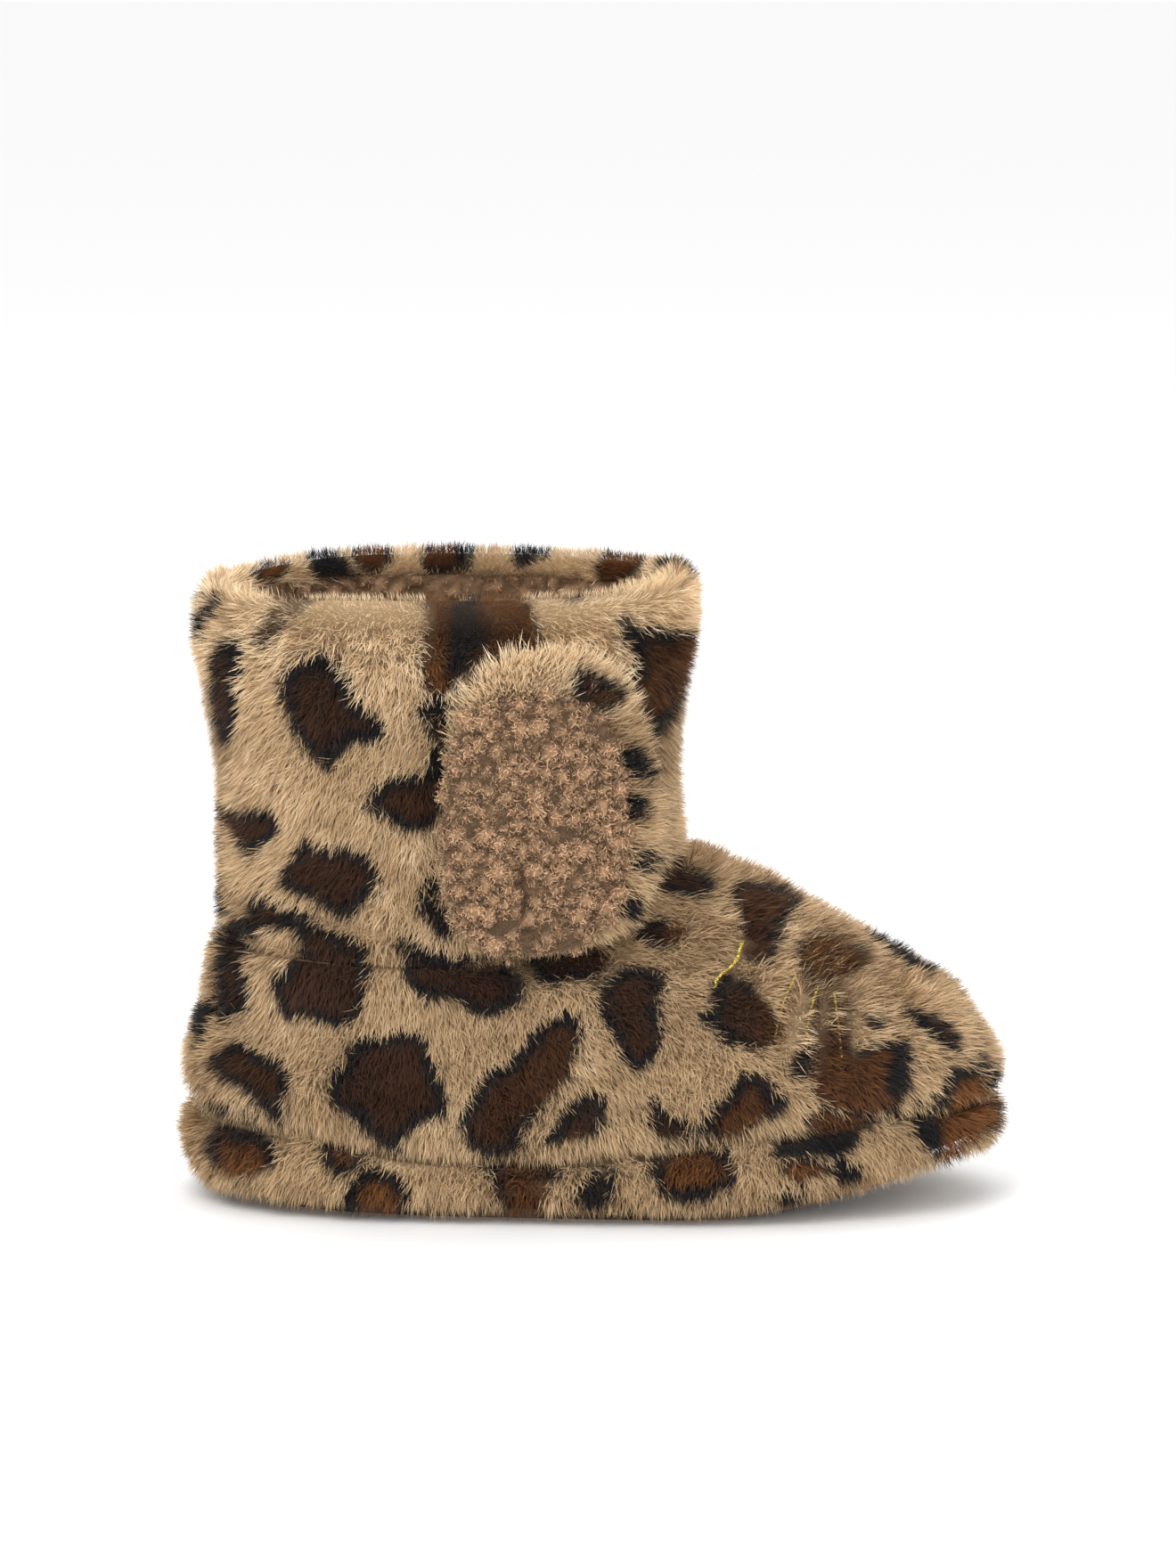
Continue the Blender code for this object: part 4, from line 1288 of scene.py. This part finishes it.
def nap_at(places, normals, zone):
    """The way the pile is combed, as long as it leans.

    It hangs on the shaft, turns up near the rim, and runs forwards and down on the foot.
    """
    if zone == "shaft":
        turned = eased(RIM_TOP - 0.036, RIM_TOP - 0.008, places[:, 2])[:, None]
        way = np.array((-0.09, 0.0, -0.44)) * (1 - turned) + np.array((0, 0, 0.20)) * turned
        inner = faces_inside(places, normals)
        way[inner] = 0
        way[inner, 2] = 0.4 * np.clip(places[inner, 1] / 0.02, -1, 1)
        crest = eased(0.25, 0.8, normals[:, 2])[:, None]
        away = unit(np.stack([places[:, 0] - SHAFT_CENTRE_X, places[:, 1], places[:, 2] * 0], 1))
        away *= np.where(places[:, 1] < 0, 0.75 - 0.5 * near_ends(places), 0.05)[:, None]
        return way * (1 - crest) + away * crest
    if zone == "foot":
        ahead = eased(-0.10, 0.06, places[:, 0])[:, None]
        return np.array((0.04, 0, -0.44)) * (1 - ahead) + np.array((0.32, 0, -0.32)) * ahead
    way = np.stack([places[:, 0] * 2.0, places[:, 1] * 4.0, np.full(len(places), -0.5)], 1)
    return 0.4 * way / np.linalg.norm(way, axis=1, keepdims=True)


def printed_cloth(node, levels):
    """A fine copy of a plush node's surface at the roots of its pile."""
    return sunk(subdivided(surface_of(node), levels), settings("pile").root_depth, INNER_ROOT_DEPTH)


def fur_cover(node, places, normals):
    """Which points of a node carry plush."""
    inner = faces_inside(places, normals)
    if node == "shaft":
        return ~inner | (places[:, 2] > RIM_TOP - FACING_DEPTH)
    if node == "foot_upper":
        return ~inner
    return ~inner & (normals[:, 2] > -0.93) & (normals[:, 2] < 0.9)


def store_pile(mesh, node, marks):
    """Stores on a cloth what its pile needs to grow."""
    zone = PLUSH_ZONES[node]
    places, normals = places_and_normals(mesh)
    parting, near_fold = partings(places, zone)
    nap = nap_at(places, normals, zone) + wavy_vectors(places, 45, 4) * 0.34 + parting
    flat = nap - normals * (nap * normals).sum(1, keepdims=True)
    lean = np.linalg.norm(flat, axis=1) + wavy(places, 60, 5) * 0.10
    along = unit(flat, 1e-6) * (lean * settings("pile").length * 0.5)[:, None]
    dark, warm = print_at(places + along + normals * 0.003, normals, node, marks)
    near_floor = eased(0.001, 0.010, places[:, 2])
    size = (0.6 + 0.4 * near_floor) * (1 - 0.45 * near_fold) * (1 + wavy(places, 130, 8) * 0.18)
    size *= rim_pile(places)
    inner = faces_inside(places, normals)
    far_rim = near_rim(places) * (places[:, 1] > 0)
    pale = ZONE_PALENESS[zone] + wavy(places, 55, 12) * 0.08 + wavy(places, 170, 13) * 0.06
    # Painted shade in the creases' troughs and painted light on their ridges.
    pale -= np.where(inner, 0, crease_depth(places)) * 42
    if zone == "shaft":
        # Painted light: the shaft's pile lighter towards the rim, where it turns up.
        pale += 0.20 * eased(RIM_TOP - 0.046, RIM_TOP - 0.012, places[:, 2])
        # Painted shade on the outer pile of the far rim.
        pale -= 0.14 * far_rim * ~inner
    store_strands(
        mesh,
        nap,
        lean=np.clip(lean, 0.02, 0.95),
        size=size,
        pale=pale,
        dark=dark,
        warm=warm,
        density=1 - 0.5 * near_fold + 0.9 * far_rim,
    )


def store_ground_print(mesh, node, marks):
    """Colours the ground under the pile by the print above it, a little darker."""
    pile = settings("pile")
    places, normals = places_and_normals(mesh)
    dark, warm = (values[:, None] for values in print_at(places, normals, node, marks))
    tan, black, brown = (np.array(c) for c in (pile.tan, pile.black, pile.brown))
    colour = tan * 0.6 * (1 - dark) + (black + (brown - black) * warm) * dark
    inner = faces_inside(places, normals) & (places[:, 2] < RIM_TOP - FACING_DEPTH)
    colour[inner] = np.array(settings("sherpa").colour) * 0.5
    store_ground(mesh, colour)


def marks_for(node, mesh):
    """Spots for the places of a node that the chart doesn't show."""
    places, normals = places_and_normals(mesh)
    wanted = uncharted(places, normals, node) & fur_cover(node, places, normals)
    wanted &= (places[:, 1] > 0) | (np.abs(normals[:, 2]) < 0.6)
    return scattered_marks(places, normals, wanted, settings("studio").seed)


def dress_plush(node, label):
    """Makes a plush node's ground, and fur on its right and left halves."""
    fine = printed_cloth(node, 3)
    marks = marks_for(node, fine)
    ground = printed_cloth(node, 1)
    store_ground_print(ground, node, marks)
    finished_cloth(label + "_ground", ground, "leopard_plush", node)

    store_pile(fine, node, marks)
    places, normals = places_and_normals(fine)
    cover = fur_cover(node, places, normals)
    for word, side in SIDES.items():
        half = part_of(fine, cover & (places[:, 1] * side > -1e-5), label)
        grow_strands(half, f"{label}_fur_{word}", "leopard_plush", fur_values(20 + side))


EAR_ROOT_DEPTH = 0.0024


def ear_way(places, side):
    """Directions from an ear's middle out to its edge, in the plane of the ear."""
    way = places - ((EAR_LOW.x + EAR_HIGH.x) / 2, 0.0, (EAR_LOW.z + EAR_HIGH.z) / 2 - 0.02)
    way[:, 1] = 0.004 * side
    return unit(way)


def under_lining(places, low, high):
    """Which points of an ear's plush lie under its sherpa front, whose box is given."""
    across = np.abs(places[:, 0] - (low.x + high.x) / 2) / ((high.x - low.x) / 2 - 0.003)
    rise = np.abs(places[:, 2] - (low.z + high.z) / 2) / ((high.z - low.z) / 2 - 0.003)
    return across**2.7 + rise**2.7 < 1


def dress_ear_plush(side, word):
    """An ear's plush back, whose long pile shows all round its sherpa front."""
    node = f"ear_{word}_plush"
    fine = sunk(subdivided(surface_of(node), 2), EAR_ROOT_DEPTH)
    places, normals = places_and_normals(fine)
    marks = scattered_marks(places, normals, uncharted(places, normals, node), 3)
    dark, warm = print_at(places + ear_way(places, side) * 0.004, normals, node, marks)
    covered = under_lining(places, *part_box(f"ear_{word}_sherpa")) & (normals[:, 1] * side > 0)
    behind = eased(EAR_LOW.x + 0.016, EAR_LOW.x + 0.004, places[:, 0])
    behind *= eased(EAR_HIGH.z - 0.020, EAR_HIGH.z - 0.036, places[:, 2])
    under = eased(EAR_LOW.z + 0.016, EAR_LOW.z + 0.004, places[:, 2])
    thin = np.where(normals[:, 1] * side < -0.6, 0.45, 1.0)
    store_strands(
        fine,
        ear_way(places, side) * 0.5,
        lean=0.30 + 0.35 * behind,
        size=1.12 - 0.5 * np.maximum(behind, under),
        # Painted light: the pile lighter towards the ear's top.
        pale=0.24 * eased(EAR_HIGH.z - 0.030, EAR_HIGH.z - 0.014, places[:, 2]) + 0.04,
        dark=dark,
        warm=warm,
        density=np.where(covered, 0.0, thin),
    )

    ground = sunk(subdivided(surface_of(node), 1), EAR_ROOT_DEPTH)
    dark, _ = print_at(*places_and_normals(ground), node, marks)
    pile = settings("pile")
    store_ground(ground, np.outer(1 - dark, np.array(pile.tan) * 0.6) + np.outer(dark, pile.black))
    finished_cloth(f"ear_{word}_ground", ground, "leopard_plush", node)
    grow_strands(fine, f"ear_{word}_fur", "leopard_plush", fur_values(40 + side, 1.15))


KNOT_TABLE = 4096


def knots(places, size, seed):
    """Rounded lumps, like the knots of curls in sherpa: 1 at a knot's top and 0 between."""
    draw = random.Random(seed)
    shift = wavy_vectors(places, 0.45 / size, seed) * size * 0.5
    cells = (places + shift) / size
    base = np.floor(cells)
    closest = np.full(len(places), 9.0)
    second = closest.copy()
    table = np.array([[draw.random() for _ in range(3)] for _ in range(KNOT_TABLE)])
    for step in itertools.product((-1, 0, 1), repeat=3):
        cell = (base + step).astype(int)
        key = (cell @ (73, 1931, 389)) % KNOT_TABLE
        away = np.linalg.norm(cells - (cell + table[key]), axis=1)
        second = np.minimum(second, np.maximum(away, closest))
        closest = np.minimum(closest, away)
    return eased(-0.05, 0.52, second - closest)


def store_curls(mesh, density, depth):
    """Stores on a cloth what its curls need to grow. Curls in a hollow are darker, painted shade,
    and curls on a knot's top are lighter, painted light.
    """
    store_strands(
        mesh,
        np.tile((0.0, 0.0, 1.0), (len(depth), 1)),
        lean=np.full(len(depth), 0.5),
        size=0.75 + 0.38 * depth,
        pale=0.26 * depth - 0.12,
        dark=np.clip(1.20 - 2.4 * depth, 0, 1),
        warm=np.clip(1.1 - 2.2 * depth, 0, 1),
        density=density,
    )


def shaped_front(node, size, side):
    """An ear's front with knots and its crease pressed in, and how high each place stands."""
    fine = evened(surface_of(node), size)
    sherpa = settings("sherpa")
    places, normals = places_and_normals(fine)
    lumps = knots(places, sherpa.lump, 5 + side)
    share, off = from_line(places[:, [0, 2]], EAR_CREASE[:2], EAR_CREASE[2:4])
    far = np.linalg.norm(off, axis=1)
    crease = np.exp(-((far / EAR_CREASE.half_width) ** 2)) * (1 - 0.6 * share)
    outer = normals[:, 1] * side > 0
    depth = 0.0023 - 0.0038 * lumps + outer * crease * EAR_CREASE.depth
    move(fine, places - normals * depth[:, None])
    # Painted shade and light: the sherpa's ground darker between the knots and lighter on their
    # tops.
    store_ground(fine, np.outer(0.25 + 0.5 * lumps, sherpa.colour))
    # Tops are lowered in the crease, so curls there take painted shade.
    return fine, lumps * (1 - 0.9 * crease)


def dress_ear_front(side, word):
    """An ear's sherpa front: knotted curls with a crease up from its base."""
    node = f"ear_{word}_sherpa"
    front, _ = shaped_front(node, 0.0014, side)
    piece = finished_cloth(f"ear_{word}_front", front, "brown_sherpa", node)
    cloth, tops = shaped_front(node, 0.0009, side)
    _, normals = places_and_normals(cloth)
    store_curls(cloth, np.where(normals[:, 1] * side > -0.3, 0.75 + 0.25 * tops, 0.05), tops)
    grow_strands(cloth, f"ear_{word}_curls", "brown_sherpa", curl_values(60 + side))


def dress_ears(dress):
    """Dresses both ears in one way."""
    for word, side in SIDES.items():
        dress(side, word)


LINING_BOTTOM = 0.105


def dress_lining():
    """The shaft's knotted lining with its curls, and the knots on the insole."""
    sherpa = settings("sherpa")
    fine = evened(surface_of("shaft"), 0.0020)
    places, normals = places_and_normals(fine)
    inner = faces_inside(places, normals)
    inner &= (places[:, 2] < RIM_TOP - FACING_DEPTH + 0.002) & (places[:, 2] > LINING_BOTTOM)
    lumps = knots(places, sherpa.lump * 1.1, 9)
    move(fine, places + normals * (0.0034 * lumps - 0.0012)[:, None])
    curled = eased(LINING_BOTTOM + 0.020, LINING_BOTTOM + 0.050, places[:, 2])
    store_curls(fine, (0.30 + 0.4 * lumps) * (0.25 + 0.75 * curled), lumps)
    # Painted shade and light: the sherpa's ground darker between the knots and lighter on their
    # tops.
    store_ground(fine, np.outer(0.35 + 0.4 * lumps, sherpa.colour))
    sheet = part_of(fine, inner, "shaft_lining")
    cloth = sheet.copy()
    drop_attributes(sheet, *HAIR_NUMBERS)
    finished_cloth("shaft_lining", sheet, "brown_sherpa")
    grow_strands(cloth, "lining_curls", "brown_sherpa", curl_values(70, 0.30))

    floor = evened(surface_of("insole"), 0.0030)
    places, normals = places_and_normals(floor)
    lumps = knots(places, sherpa.lump * 1.2, 11)
    top = eased(0.2, 0.8, normals[:, 2])
    move(floor, places + normals * (0.0014 * lumps * top)[:, None])
    # Painted shade and light: the insole's ground darker between the knots and lighter on their
    # tops.
    store_ground(floor, np.outer(0.45 + 0.6 * lumps, sherpa.colour))
    finished_cloth("insole_sherpa", floor, "brown_sherpa", "insole")


def stitch_tree():
    """Slanting stitches along a line."""
    kinds = {"Spacing": "Float", "Slant": "Float", "Stitch": "Object", "Material": "Material"}
    nodes, inputs, output = new_tree("Stitches on a line", kinds)
    dots = nodes.add(
        "GeometryNodeCurveToPoints",
        mode="LENGTH",
        Curve=inputs["Geometry"],
        Length=inputs["Spacing"],
    ).outputs
    stitch = nodes.add(
        "GeometryNodeObjectInfo", transform_space="ORIGINAL", Object=inputs["Stitch"]
    )
    angles = nodes.add("ShaderNodeCombineXYZ", None, inputs["Slant"])
    slant = nodes.add("FunctionNodeEulerToRotation", angles.outputs[0])
    turn = nodes.add(
        "FunctionNodeRotateRotation",
        rotation_space="LOCAL",
        Rotation=dots["Rotation"],
        Rotate_By=slant.outputs[0],
    )
    row = nodes.add(
        "GeometryNodeInstanceOnPoints",
        Points=dots["Points"],
        Instance=stitch.outputs["Geometry"],
        Rotation=turn.outputs[0],
    )
    painted = nodes.add(
        "GeometryNodeSetMaterial",
        Geometry=nodes.add("GeometryNodeRealizeInstances", row.outputs[0]).outputs[0],
        Material=inputs["Material"],
    )
    nodes.feed(output, painted.outputs[0])
    return nodes.tree


def stitch_object(length, thickness):
    """One stitch: a short thread with rounded ends, along Z."""
    builder = bmesh.new()
    bmesh.ops.create_uvsphere(builder, u_segments=6, v_segments=5, radius=0.5)
    for vertex in builder.verts:
        vertex.co.x *= thickness
        vertex.co.y *= thickness
        vertex.co.z *= length
    return new_piece("stitch", mesh_of(builder, "stitch"))


def line_on_foot(line, side, surface):
    """A curve through an embroidered line's places, as it lies on the foot's side."""
    curve = bpy.data.curves.new("face_line", "CURVE")
    curve.dimensions = "3D"
    spline = curve.splines.new("NURBS")
    spline.points.add(len(line.places) - 1)
    for point, (along, height) in zip(spline.points, line.places):
        start = Vector((along, side * 0.2, height))
        place, normal, _, _ = surface.ray_cast(start, Vector((0, -side, 0)))
        point.co = (*(place + normal * line.lift), 1.0)
    spline.use_endpoint_u = True
    spline.order_u = 3
    curve.resolution_u = 12
    return new_piece("face_line", curve)


def sew_face():
    """The gold embroidered face lines on both sides of the toe."""
    thread = settings("thread")
    foot = surface_of("foot_upper")
    surface = BVHTree.FromPolygons(
        [vertex.co.copy() for vertex in foot.vertices], [list(p.vertices) for p in foot.polygons]
    )
    tree, gold = stitch_tree(), thread_material()
    builder = bmesh.new()
    for line in FACE_LINES:
        stitch = stitch_object(line.reach * 2, thread.thickness)
        values = {"Spacing": thread.spacing, "Slant": 0.9, "Stitch": stitch, "Material": gold}
        for side in SIDES.values():
            builder.from_mesh(grown(line_on_foot(line, side, surface), tree, values))
        bpy.data.objects.remove(stitch)
    mesh = mesh_of(builder, "face_embroidery")
    mesh.materials.append(gold)
    finished(new_piece("face_embroidery", mesh), "leopard_plush")


def dress_outsole():
    """The outsole's textile."""
    material = sole_material()
    node = frame["nodes"]["outsole"]
    for slot in node.material_slots:
        slot.material = material
    if not node.material_slots:
        node.data.materials.append(material)


class Lamp(NamedTuple):
    """A soft lamp: where it hangs, how wide it is and how strong."""

    name: str
    place: tuple
    width: float
    power: float


LAMPS = [
    Lamp("key", (-0.5, -1.1, 1.3), 0.9, 15.0),
    Lamp("fill", (0.9, -1.0, 0.6), 1.0, 4.0),
    Lamp("top", (0.1, 0.5, 1.5), 1.2, 8.0),
]


def aimed(name, data, place, way):
    """A lamp or a camera at a place, looking along a way."""
    thing = new_piece(name, data)
    thing.location = place
    thing.rotation_euler = way.to_track_quat("-Z", "Y").to_euler()
    return thing


def make_studio():
    """The floor, the lamps, the sky and the camera."""
    scene = bpy.context.scene
    builder = bmesh.new()
    bmesh.ops.create_grid(builder, x_segments=1, y_segments=1, size=6.0)
    floor = new_piece("floor", mesh_of(builder, "floor"))
    pale, _, shader = new_material("pale_floor", 0.9, 0.1)
    shader["Base Color"].default_value = (0.9, 0.9, 0.9, 1)
    floor.data.materials.append(pale)

    middle = Vector((0, 0, 0.1))
    for lamp in LAMPS:
        data = bpy.data.lights.new(lamp.name, "AREA")
        data.size = lamp.width
        data.energy = lamp.power
        aimed(lamp.name, data, lamp.place, middle - Vector(lamp.place))

    world = bpy.data.worlds.new("studio")
    world.use_nodes = True
    sky = world.node_tree.nodes["Background"]
    sky.inputs["Color"].default_value = (1, 1, 1, 1)
    sky.inputs["Strength"].default_value = 1.05
    scene.world = world
    scene.view_settings.view_transform = "Standard"

    data = bpy.data.cameras.new("camera")
    data.lens = settings("studio").lens
    data.sensor_width = 36.0
    data.clip_end = 20.0
    scene.camera = aimed("camera", data, camera_place(), picture_axes()[1])


class SLIPPER_OT_studio(bpy.types.Operator):
    """Makes the floor, the lamps and the camera"""

    bl_idname = "slipper.studio"
    bl_label = "Studio"
    bl_options = {"REGISTER", "UNDO"}

    def execute(self, context):
        make_studio()
        return {"FINISHED"}


class SLIPPER_OT_shaft(bpy.types.Operator):
    """Makes the printed plush of the shaft, with its turned rim"""

    bl_idname = "slipper.shaft"
    bl_label = "Shaft plush"
    bl_options = {"REGISTER", "UNDO"}

    def execute(self, context):
        dress_plush("shaft", "shaft")
        return {"FINISHED"}


class SLIPPER_OT_foot(bpy.types.Operator):
    """Makes the printed plush of the foot"""

    bl_idname = "slipper.foot"
    bl_label = "Foot plush"
    bl_options = {"REGISTER", "UNDO"}

    def execute(self, context):
        dress_plush("foot_upper", "foot")
        return {"FINISHED"}


class SLIPPER_OT_band(bpy.types.Operator):
    """Makes the printed plush round the sole"""

    bl_idname = "slipper.band"
    bl_label = "Sole band plush"
    bl_options = {"REGISTER", "UNDO"}

    def execute(self, context):
        dress_plush("sole_band", "band")
        return {"FINISHED"}


class SLIPPER_OT_ear_plush(bpy.types.Operator):
    """Makes the plush backs of both ears"""

    bl_idname = "slipper.ear_plush"
    bl_label = "Ear plush"
    bl_options = {"REGISTER", "UNDO"}

    def execute(self, context):
        dress_ears(dress_ear_plush)
        return {"FINISHED"}


class SLIPPER_OT_ear_fronts(bpy.types.Operator):
    """Makes the curly sherpa fronts of both ears"""

    bl_idname = "slipper.ear_fronts"
    bl_label = "Ear fronts"
    bl_options = {"REGISTER", "UNDO"}

    def execute(self, context):
        dress_ears(dress_ear_front)
        return {"FINISHED"}


class SLIPPER_OT_lining(bpy.types.Operator):
    """Makes the sherpa inside the shaft and on the insole"""

    bl_idname = "slipper.lining"
    bl_label = "Sherpa lining"
    bl_options = {"REGISTER", "UNDO"}

    def execute(self, context):
        dress_lining()
        return {"FINISHED"}


class SLIPPER_OT_face(bpy.types.Operator):
    """Makes the gold embroidered face lines on both sides of the toe"""

    bl_idname = "slipper.face"
    bl_label = "Embroidered face"
    bl_options = {"REGISTER", "UNDO"}

    def execute(self, context):
        sew_face()
        return {"FINISHED"}


class SLIPPER_OT_outsole(bpy.types.Operator):
    """Gives the outsole its textile with grip dots"""

    bl_idname = "slipper.outsole"
    bl_label = "Textile outsole"
    bl_options = {"REGISTER", "UNDO"}

    def execute(self, context):
        dress_outsole()
        return {"FINISHED"}


OPERATORS = [
    SLIPPER_OT_studio,
    SLIPPER_OT_shaft,
    SLIPPER_OT_foot,
    SLIPPER_OT_band,
    SLIPPER_OT_ear_plush,
    SLIPPER_OT_ear_fronts,
    SLIPPER_OT_lining,
    SLIPPER_OT_face,
    SLIPPER_OT_outsole,
]


class SLIPPER_PT_panel(bpy.types.Panel):
    """Lists the slipper's settings and makers"""

    bl_label = "Slipper"
    bl_idname = "SLIPPER_PT_panel"
    bl_space_type = "VIEW_3D"
    bl_region_type = "UI"
    bl_category = "Slipper"

    def draw(self, context):
        for name, group in SETTINGS.items():
            box = self.layout.box()
            box.label(text=name.replace("slipper_", "").capitalize())
            for label in group.__annotations__:
                box.prop(getattr(context.scene, name), label)
        for maker in OPERATORS:
            self.layout.operator(maker.bl_idname)


CLASSES = [*SETTINGS.values(), *OPERATORS, SLIPPER_PT_panel]


def register():
    """Adds the settings, the makers and the panel."""
    for kind in CLASSES:
        bpy.utils.register_class(kind)
    for name, group in SETTINGS.items():
        setattr(bpy.types.Scene, name, PointerProperty(type=group))


def unregister():
    """Takes them away again."""
    for name in SETTINGS:
        delattr(bpy.types.Scene, name)
    for kind in reversed(CLASSES):
        bpy.utils.unregister_class(kind)


def main():
    """Makes every piece of the slipper."""
    register()
    seed_set(settings("studio").seed)
    for thing in list(bpy.context.scene.objects):
        if thing.type in {"CAMERA", "LIGHT"} or thing.name == "Cube":
            bpy.data.objects.remove(thing)
    for maker in OPERATORS:
        group, name = maker.bl_idname.split(".")
        getattr(getattr(bpy.ops, group), name)()
    for key in ("fur kinds", "curl kinds"):
        for strand in list(SHARED[key].objects):
            bpy.data.objects.remove(strand)
        bpy.data.collections.remove(SHARED[key])


if __name__ == "__main__":
    main()
